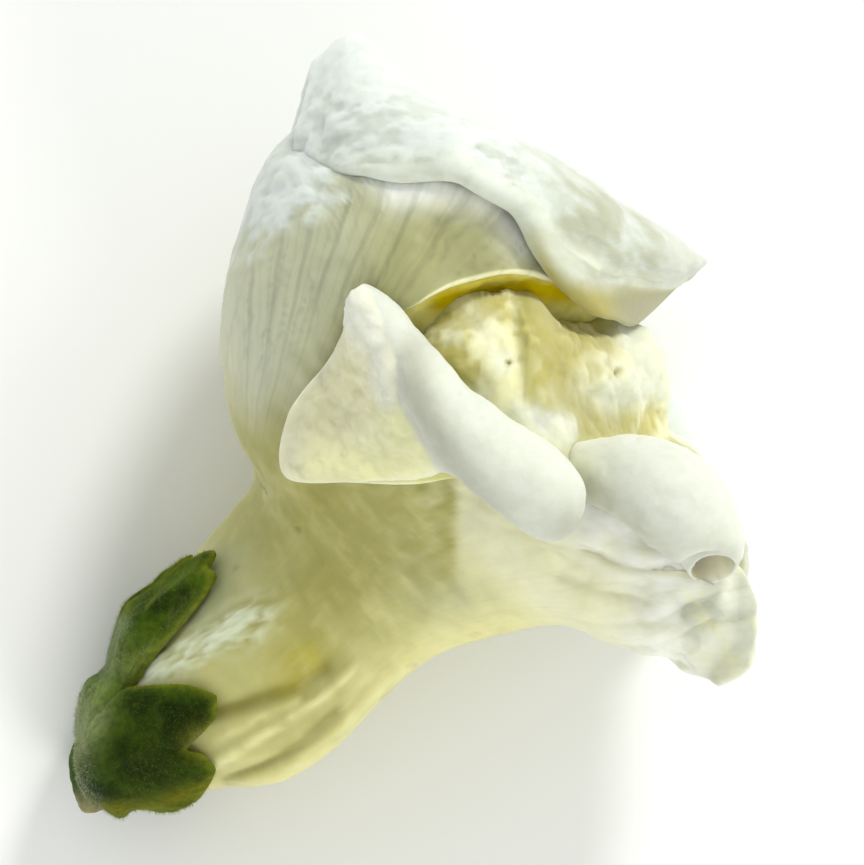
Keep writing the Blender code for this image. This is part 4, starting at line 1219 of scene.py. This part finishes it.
def palate(mat):
    grid, turn = palate_grid()
    hump = smooth(turn, -66, -44)
    furrow = stroke(grid, *FURROW) * hump
    rough = lumps(grid, 1.5, 3, 61)
    skin = hump * (0.26 * rough + 0.08 * lumps(grid, 0.55, 3, 62))
    skin += (1 - hump) * 0.08 * lumps(grid, 1.2, 3, 63)
    skin += hump * drawn(grid, BOSSES)
    skin -= 0.40 * stroke(grid, *BOSS_GAP) * hump
    skin -= 0.45 * furrow
    pits = drawn(grid, PITS)
    skin += (drawn(grid, BUMPS) - PIT_DEPTH * pits) * hump
    tint = blend(CREAM, PALATE_OLIVE, 0.85 * hump * smooth(-rough, -0.15, 0.25))
    # Painted shade in the hollow between the bosses
    hollow_shade = drawn(grid, PALATE_HOLLOW_SHADE)
    tint = wash(tint, PALATE_DEEP_SHADE, hollow_shade * hump, 0.85)
    tint = wash(tint, OLIVE, furrow, 0.7)
    # Painted shade along the palate's left edge
    tint = wash(tint, OLIVE, stroke(grid, *PALATE_BRINK_SHADE) * hump, 0.6)
    tint = blend(tint, GOLD, 0.8 * smooth(turn, 95, 130))
    patchy = 0.45 * smooth(lumps(grid, 1.2, 3, 64), -0.1, 0.8) * (1 - 0.8 * np.clip(hollow_shade, 0, 1))
    # Pale on the palate: partly its white colour and random patches, partly painted highlight on the
    # left boss and painted light at the foot of the furrow, where a lower lobe's shadow falls
    tint = wash(tint, PALATE_WHITE, (drawn(grid, PALATE_PALE_AND_HIGHLIGHT) + patchy) * hump)
    tint = wash(tint, PIT_OLIVE, pits * 0.8, hump)
    return petal("corolla_palate", grid, tint, mat, side=-1, skin=skin)


def mouth_lining(mat):
    """Lining of the mouth between the hood's margin and the palate."""
    grid = net(np.array(MOUTH_GUIDES), fine_steps(0, 2, 40), fine_steps(0, 7, 140))
    skin = 0.10 * lumps(grid, 0.9, 3, 66)
    tint = blend(MOUTH_YELLOW, GOLD, 0.5 * smooth(lumps(grid, 1.2, 3, 67), -0.2, 0.6))
    # Dark olive along the slit under the hood's margin: the throat's yellow, darkened as painted shade
    tint = wash(tint, MOUTH_SHADE_OLIVE, stroke(grid, *MOUTH_SLIT_SHADE) * 1.1)
    return petal("corolla_mouth_lining", grid, tint, mat, side=-1, skin=skin, outer=0.2)


# Calyx, pistil and stamens

def calyx_rings():
    columns = np.arange(RING_POINTS)
    levels = np.array(CALYX_LEVELS)

    def wall(up=0.0, on=0.0):
        return net(SHELL_RINGS, levels + up, (columns + on) % RING_POINTS, closed=True)

    normal = unit(np.cross(wall(up=0.05) - wall(up=-0.05), wall(on=0.05) - wall(on=-0.05)))
    normal *= np.sign((normal * outward(wall())).sum(axis=2, keepdims=True))
    clear = CALYX_CLEAR + ribs(levels, DORSAL_TURN + columns * RING_STEP)
    return np.concatenate((station_rings(CALYX_BOTTOM), wall() + normal * clear[..., None]))


def sepal_rim():
    """Degrees round the calyx, and for each the level of the rim and how far off a sepal's middle
    it is, 1 at a notch.
    """
    turns = np.arange(360) - 180.0
    tips, offs = [], []
    for turn in turns:
        tip, least = SEPAL_NOTCH, 1.0
        for middle, reach, half in SEPALS:
            off = abs(angle_between(turn, middle)) / half
            if off < 1:
                tip = max(tip, SEPAL_NOTCH + (reach - SEPAL_NOTCH) * (1 - off ** SEPAL_BLUNTNESS))
                least = min(least, off)
        if SEPAL_RIM[0][0] < turn < SEPAL_RIM[-1][0]:
            tip = np.interp(turn, *np.transpose(SEPAL_RIM))
        tips.append(tip)
        offs.append(least)
    tips = np.convolve(np.concatenate((tips[-2:], tips, tips[:2])), (0.1, 0.2, 0.4, 0.2, 0.1),
                       "valid")
    return turns, tips, np.array(offs)


def sepals(mat):
    """The five sepals, and the grid of their outer face for the hairs to stand on."""
    rings = calyx_rings()
    turns, tips, offs = sepal_rim()
    tops = np.interp(tips, CALYX_LEVELS, len(CALYX_BOTTOM) + np.arange(len(CALYX_LEVELS)))
    shares = fine_steps(0, 1, 60)
    grid = []
    for turn, top in zip(turns, tops):
        column = (turn - DORSAL_TURN) / RING_STEP % RING_POINTS
        grid.append(net(rings, top * shares, [column], closed=True)[:, 0])
    grid = np.swapaxes(np.array(grid), 0, 1)
    share, off = np.meshgrid(shares, offs, indexing="ij")
    away = margin_distance(grid, True, ("last",))
    fold = drawn(grid, SEPAL_SWELL)
    fold += drawn(grid, CUP_SWELL) * smooth(-share, -0.7, -0.3) * smooth(share, 0.0, 0.14)
    fold -= 0.42 * smooth(share, 0.35, 0.8)
    skin = 0.10 * np.exp(-(off / 0.12) ** 2) * smooth(share, 0.2, 0.5)
    skin -= 0.18 * smooth(off, 0.75, 1.0) * smooth(-share, -0.75, -0.3)
    skin += 0.08 * lumps(grid, 0.9, 3, 71)
    skin += 0.2 * stroke(grid, *SEPAL_RIDGE)
    skin -= 0.26 * np.exp(-(away / 0.5) ** 2)
    tint = blend(GREEN, GREEN_DARK, smooth(lumps(grid, 1.5, 3, 72), -0.3, 0.5) * 0.9)
    # Painted shade on the lower side of the calyx
    tint = wash(tint, GREEN_SHADE, drawn(grid, SEPALS_SHADE) * 0.8)
    tint = wash(tint, GREEN_PALE, stroke(grid, *SEPAL_PALE) * 0.9)
    tint = blend(tint, GREEN_RIM, np.exp(-(away / 0.34) ** 2) * 0.6)
    tint = wash(tint, GREEN_OLIVE, drawn(grid, SEPALS_OLIVE) * 0.8)
    tint = wash(tint, GREEN_FUZZ, stroke(grid, *CUP_FUZZ) * 0.8)
    tint = blend(tint, GREEN_BASE, 0.5 * smooth(-share, -0.25, 0.0))
    # Painted highlight where the hairs catch the light along the cup's left edge
    tint = wash(tint, GREEN_EDGE_HIGHLIGHT, stroke(grid, *CUP_EDGE_HIGHLIGHT) * 0.6)
    piece = petal("calyx_sepals", grid, tint, mat, side=-1, closed=True, outer=0.36, inner=0.2,
                  skin=skin, fold=fold)
    lift = 0.34 + np.maximum(skin, -0.25)
    lift[away < 0.2] = 0
    return piece, grid - grid_normals(grid, True) * (fold + lift)[..., None]


def hairs(mat, grid):
    """Short pale hairs on the outside of the sepals, each a thin spike."""
    rng = np.random.default_rng(7)
    rows, columns = grid.shape[:2]
    normal = -grid_normals(grid, True)
    a = grid[:-1]
    area = np.linalg.norm(np.cross(np.roll(a, -1, axis=1) - a, grid[1:] - a), axis=2)
    picks = rng.choice(area.size, HAIR_COUNT, p=area.ravel() / area.sum())
    i, j = np.divmod(picks, columns)
    up, on = rng.random((2, HAIR_COUNT, 1))
    k = (j + 1) % columns
    root = ((grid[i, j] * (1 - on) + grid[i, k] * on) * (1 - up)
            + (grid[i + 1, j] * (1 - on) + grid[i + 1, k] * on) * up)
    out = normal[i, j]
    along = unit(grid[np.minimum(i + 1, rows - 1), j] - grid[i, j])
    aim = unit(out * 0.8 + along * 0.5 + rng.normal(0, 0.35, (HAIR_COUNT, 3)))
    length = rng.uniform(*HAIR_LENGTHS, (HAIR_COUNT, 1))
    side = unit(np.cross(aim, rng.normal(size=(HAIR_COUNT, 3))))
    other = np.cross(aim, side)
    root = root - out * 0.03
    corners = [root + HAIR_RADIUS * (math.cos(t) * side + math.sin(t) * other)
               for t in np.arange(3) * math.tau / 3]
    points = np.stack(corners + [root + aim * length], axis=1)
    points[..., 2] = np.maximum(points[..., 2], GROUND + 0.01)
    first = np.arange(HAIR_COUNT)[:, None] * 4
    faces = np.concatenate([first + np.array(f) for f in ((0, 1, 3), (1, 2, 3), (2, 0, 3))])
    shade = rng.uniform(0.55, 0.9, (HAIR_COUNT, 1))
    # Painted highlight: hairs paler along the calyx's left edge, where they catch the light
    tint = blend(HAIR_GREEN, HAIR_EDGE_HIGHLIGHT, smooth(-root[:, 0], 15.4, 16.6))
    tint = wash(tint, HAIR_PALE, drawn(root, HAIRS_PALE) * 0.8) * shade
    colours = np.repeat(tint, 4, axis=0)
    return add_mesh("calyx_hairs", points.reshape(-1, 3), faces.tolist(), colours, mat)


def strand(name, points, radii, rows, sides, mat, tint, relief):
    """Closed round strand along a line of points. tint takes the share of its length."""
    at = steps(0, len(points) - 1, rows)
    way = spline(points, at)
    radii = spline(np.array(radii, dtype=float)[:, None], at)[:, 0]
    side = np.array((0.0, 0.0, 1.0))
    grid = []
    for i in range(rows):
        ahead = way[min(i + 1, rows - 1)] - way[max(i - 1, 0)]
        ahead /= np.linalg.norm(ahead)
        side = side - ahead * side.dot(ahead)
        side /= np.linalg.norm(side)
        other = np.cross(ahead, side)
        grid.append([way[i] + radii[i] * (math.cos(a) * side + math.sin(a) * other)
                     for a in np.arange(sides) * math.tau / sides])
    grid = np.array(grid)
    grid = grid + unit(grid - way[:, None]) * (relief * lumps(grid, 0.35, 2, 81))[..., None]
    ends = np.array((way[0] - (way[1] - way[0]) * 0.2, way[-1] + (way[-1] - way[-2]) * 0.2))
    points = np.concatenate((grid.reshape(-1, 3), ends))
    faces = quads(rows, sides, True, True).tolist()
    last = rows * sides
    for k in range(sides):
        faces.append([last, k, (k + 1) % sides])
        faces.append([last + 1, last - sides + (k + 1) % sides, last - sides + k])
    share = np.concatenate((np.repeat(at / at[-1], sides), (0, 1)))
    return add_mesh(name, points, faces, tint(share), mat)


def stalk(mat):
    def tint(share):
        return blend(STALK_GREEN, STALK_CUT, smooth(share, 0.55, 0.9))

    return strand("calyx_stalk", STALK, FINE_STALK_RADIUS, 60, 40, mat, tint, 0.05)


def pistil(mat):
    def tint(share):
        return blend(OVARY, STYLE, smooth(share, 0.15, 0.5))

    return strand("pistil_fine", PISTIL, PISTIL_RADIUS, 160, 24, mat, tint, 0.03)


def stamen(index, column, reach, mat):
    levels = steps(STAMEN_START, reach, len(STAMEN_RADIUS))
    wall = net(SHELL_RINGS, levels, [column], closed=True)[:, 0]
    middle = spline(SHELL_RINGS.mean(axis=1), levels)
    inset = spline(np.array(STAMEN_INSET)[:, None], steps(0, len(STAMEN_INSET) - 1, len(levels)))

    def tint(share):
        return blend(FILAMENT, ANTHER, smooth(share, 0.66, 0.72))

    return strand(f"stamen_{index}_fine", wall + (middle - wall) * inset, STAMEN_RADIUS, 120, 20,
                  mat, tint, 0.03)


# Stage

def area_light(name, aim, size, power, colour):
    """Round lamp that shines on the middle of the part from the direction aim."""
    light = bpy.data.lights.new(name, "AREA")
    light.shape = "DISK"
    light.size = size
    light.energy = power
    light.color = colour
    lamp = bpy.data.objects.new(name, light)
    bpy.context.scene.collection.objects.link(lamp)
    aim = np.array(aim) / np.linalg.norm(aim)
    lamp.location = aim * LAMP_DISTANCE
    lamp.rotation_mode = "QUATERNION"
    from_down = np.array((0, 0, -1.0))
    axis = np.cross(from_down, -aim)
    angle = math.atan2(np.linalg.norm(axis), from_down.dot(-aim))
    axis = axis / max(np.linalg.norm(axis), 1e-9)
    lamp.rotation_quaternion = (math.cos(angle / 2), *(axis * math.sin(angle / 2)))


def floor():
    mesh = bpy.data.meshes.new("floor")
    mesh.from_pydata([(x * FLOOR_HALF, y * FLOOR_HALF, 0) for x, y in
                      ((-1, -1), (1, -1), (1, 1), (-1, 1))], [], [(0, 1, 2, 3)])
    sheet = bpy.data.objects.new("floor", mesh)
    bpy.context.scene.collection.objects.link(sheet)
    mat, _, _, surface = new_material("pale_floor")
    set_inputs(surface, {"Base Color": FLOOR_COLOUR, "Roughness": 0.9, "Specular IOR Level": 0.1})
    mesh.materials.append(mat)


def studio():
    scene = bpy.context.scene
    floor()
    world = bpy.data.worlds.new("sky")
    world.use_nodes = True
    set_inputs(world.node_tree.nodes["Background"], {"Color": SKY_COLOUR, "Strength": SKY_STRENGTH})
    scene.world = world
    for lamp in LAMPS:
        area_light(*lamp)
    scene.view_settings.view_transform = "Standard"
    scene.view_settings.look = "None"
    scene.view_settings.exposure = 0.0

    camera = bpy.data.cameras.new("camera")
    camera.sensor_width = 36
    camera.lens = camera.sensor_width * CAMERA_DISTANCE / (VIEW_WIDTH * MM)
    camera.clip_start = 0.05
    view = bpy.data.objects.new("camera", camera)
    scene.collection.objects.link(view)
    middle = (VIEW_MIDDLE + SHIFT) * MM
    view.location = (middle[0], middle[1], middle[2] + CAMERA_DISTANCE)
    scene.camera = view


# The scene

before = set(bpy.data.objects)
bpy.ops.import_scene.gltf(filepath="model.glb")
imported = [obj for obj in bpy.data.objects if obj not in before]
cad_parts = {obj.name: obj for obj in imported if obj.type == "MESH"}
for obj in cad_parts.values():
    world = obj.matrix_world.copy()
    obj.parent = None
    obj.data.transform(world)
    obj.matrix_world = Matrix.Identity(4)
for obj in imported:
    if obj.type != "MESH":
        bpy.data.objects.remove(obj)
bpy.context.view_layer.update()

smooth_petal = petal_material("petal_smooth", 0.5, 0.05, ((0.35, 0.012, 3), (0.09, 0.004, 2)),
                              mottle=0.05, size=0.8)
velvet_petal = petal_material("petal_velvet", 0.62, 0.25, ((0.45, 0.02, 4), (0.10, 0.010, 2)),
                              mottle=0.04, size=0.5)
palate_petal = petal_material("petal_palate", 0.5, 0.15, ((0.4, 0.03, 4), (0.12, 0.010, 2)),
                              mottle=0.07, size=0.6)
sepal_green = petal_material("sepal_green", 0.6, 0.0, ((0.35, 0.04, 4), (0.09, 0.03, 2)),
                             mottle=0.35, size=0.35, scatter=0.2, gloss=0.08)
hair_pale = petal_material("hair_pale", 0.5, 0.0, ((0.2, 0.002, 1),),
                           mottle=0.1, size=0.7, scatter=0.3)
mouth_olive = petal_material("mouth_olive", 0.8, 0.0, ((0.4, 0.03, 4), (0.12, 0.010, 2)),
                             mottle=0.1, size=0.6, scatter=0.4, gloss=0.03)
inner_parts = petal_material("inner_parts", 0.45, 0.0, ((0.25, 0.02, 3), (0.1, 0.01, 2)),
                             mottle=0.15, size=0.4, scatter=0.4)

petals = [shell(smooth_petal), upper_lobes(velvet_petal), near_lobe(velvet_petal),
          middle_lobe(velvet_petal), far_lobe(velvet_petal), palate(palate_petal),
          mouth_lining(mouth_olive)]
for piece in petals:
    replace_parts(piece, "corolla")
cup, cup_grid = sepals(sepal_green)
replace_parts(cup, "calyx")
hairs(hair_pale, cup_grid)
stalk(sepal_green)
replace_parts(pistil(inner_parts), "pistil")
for number, (ring_column, ring_reach) in enumerate(STAMENS, start=1):
    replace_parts(stamen(number, ring_column, ring_reach, inner_parts), f"stamen_{number}")
studio()
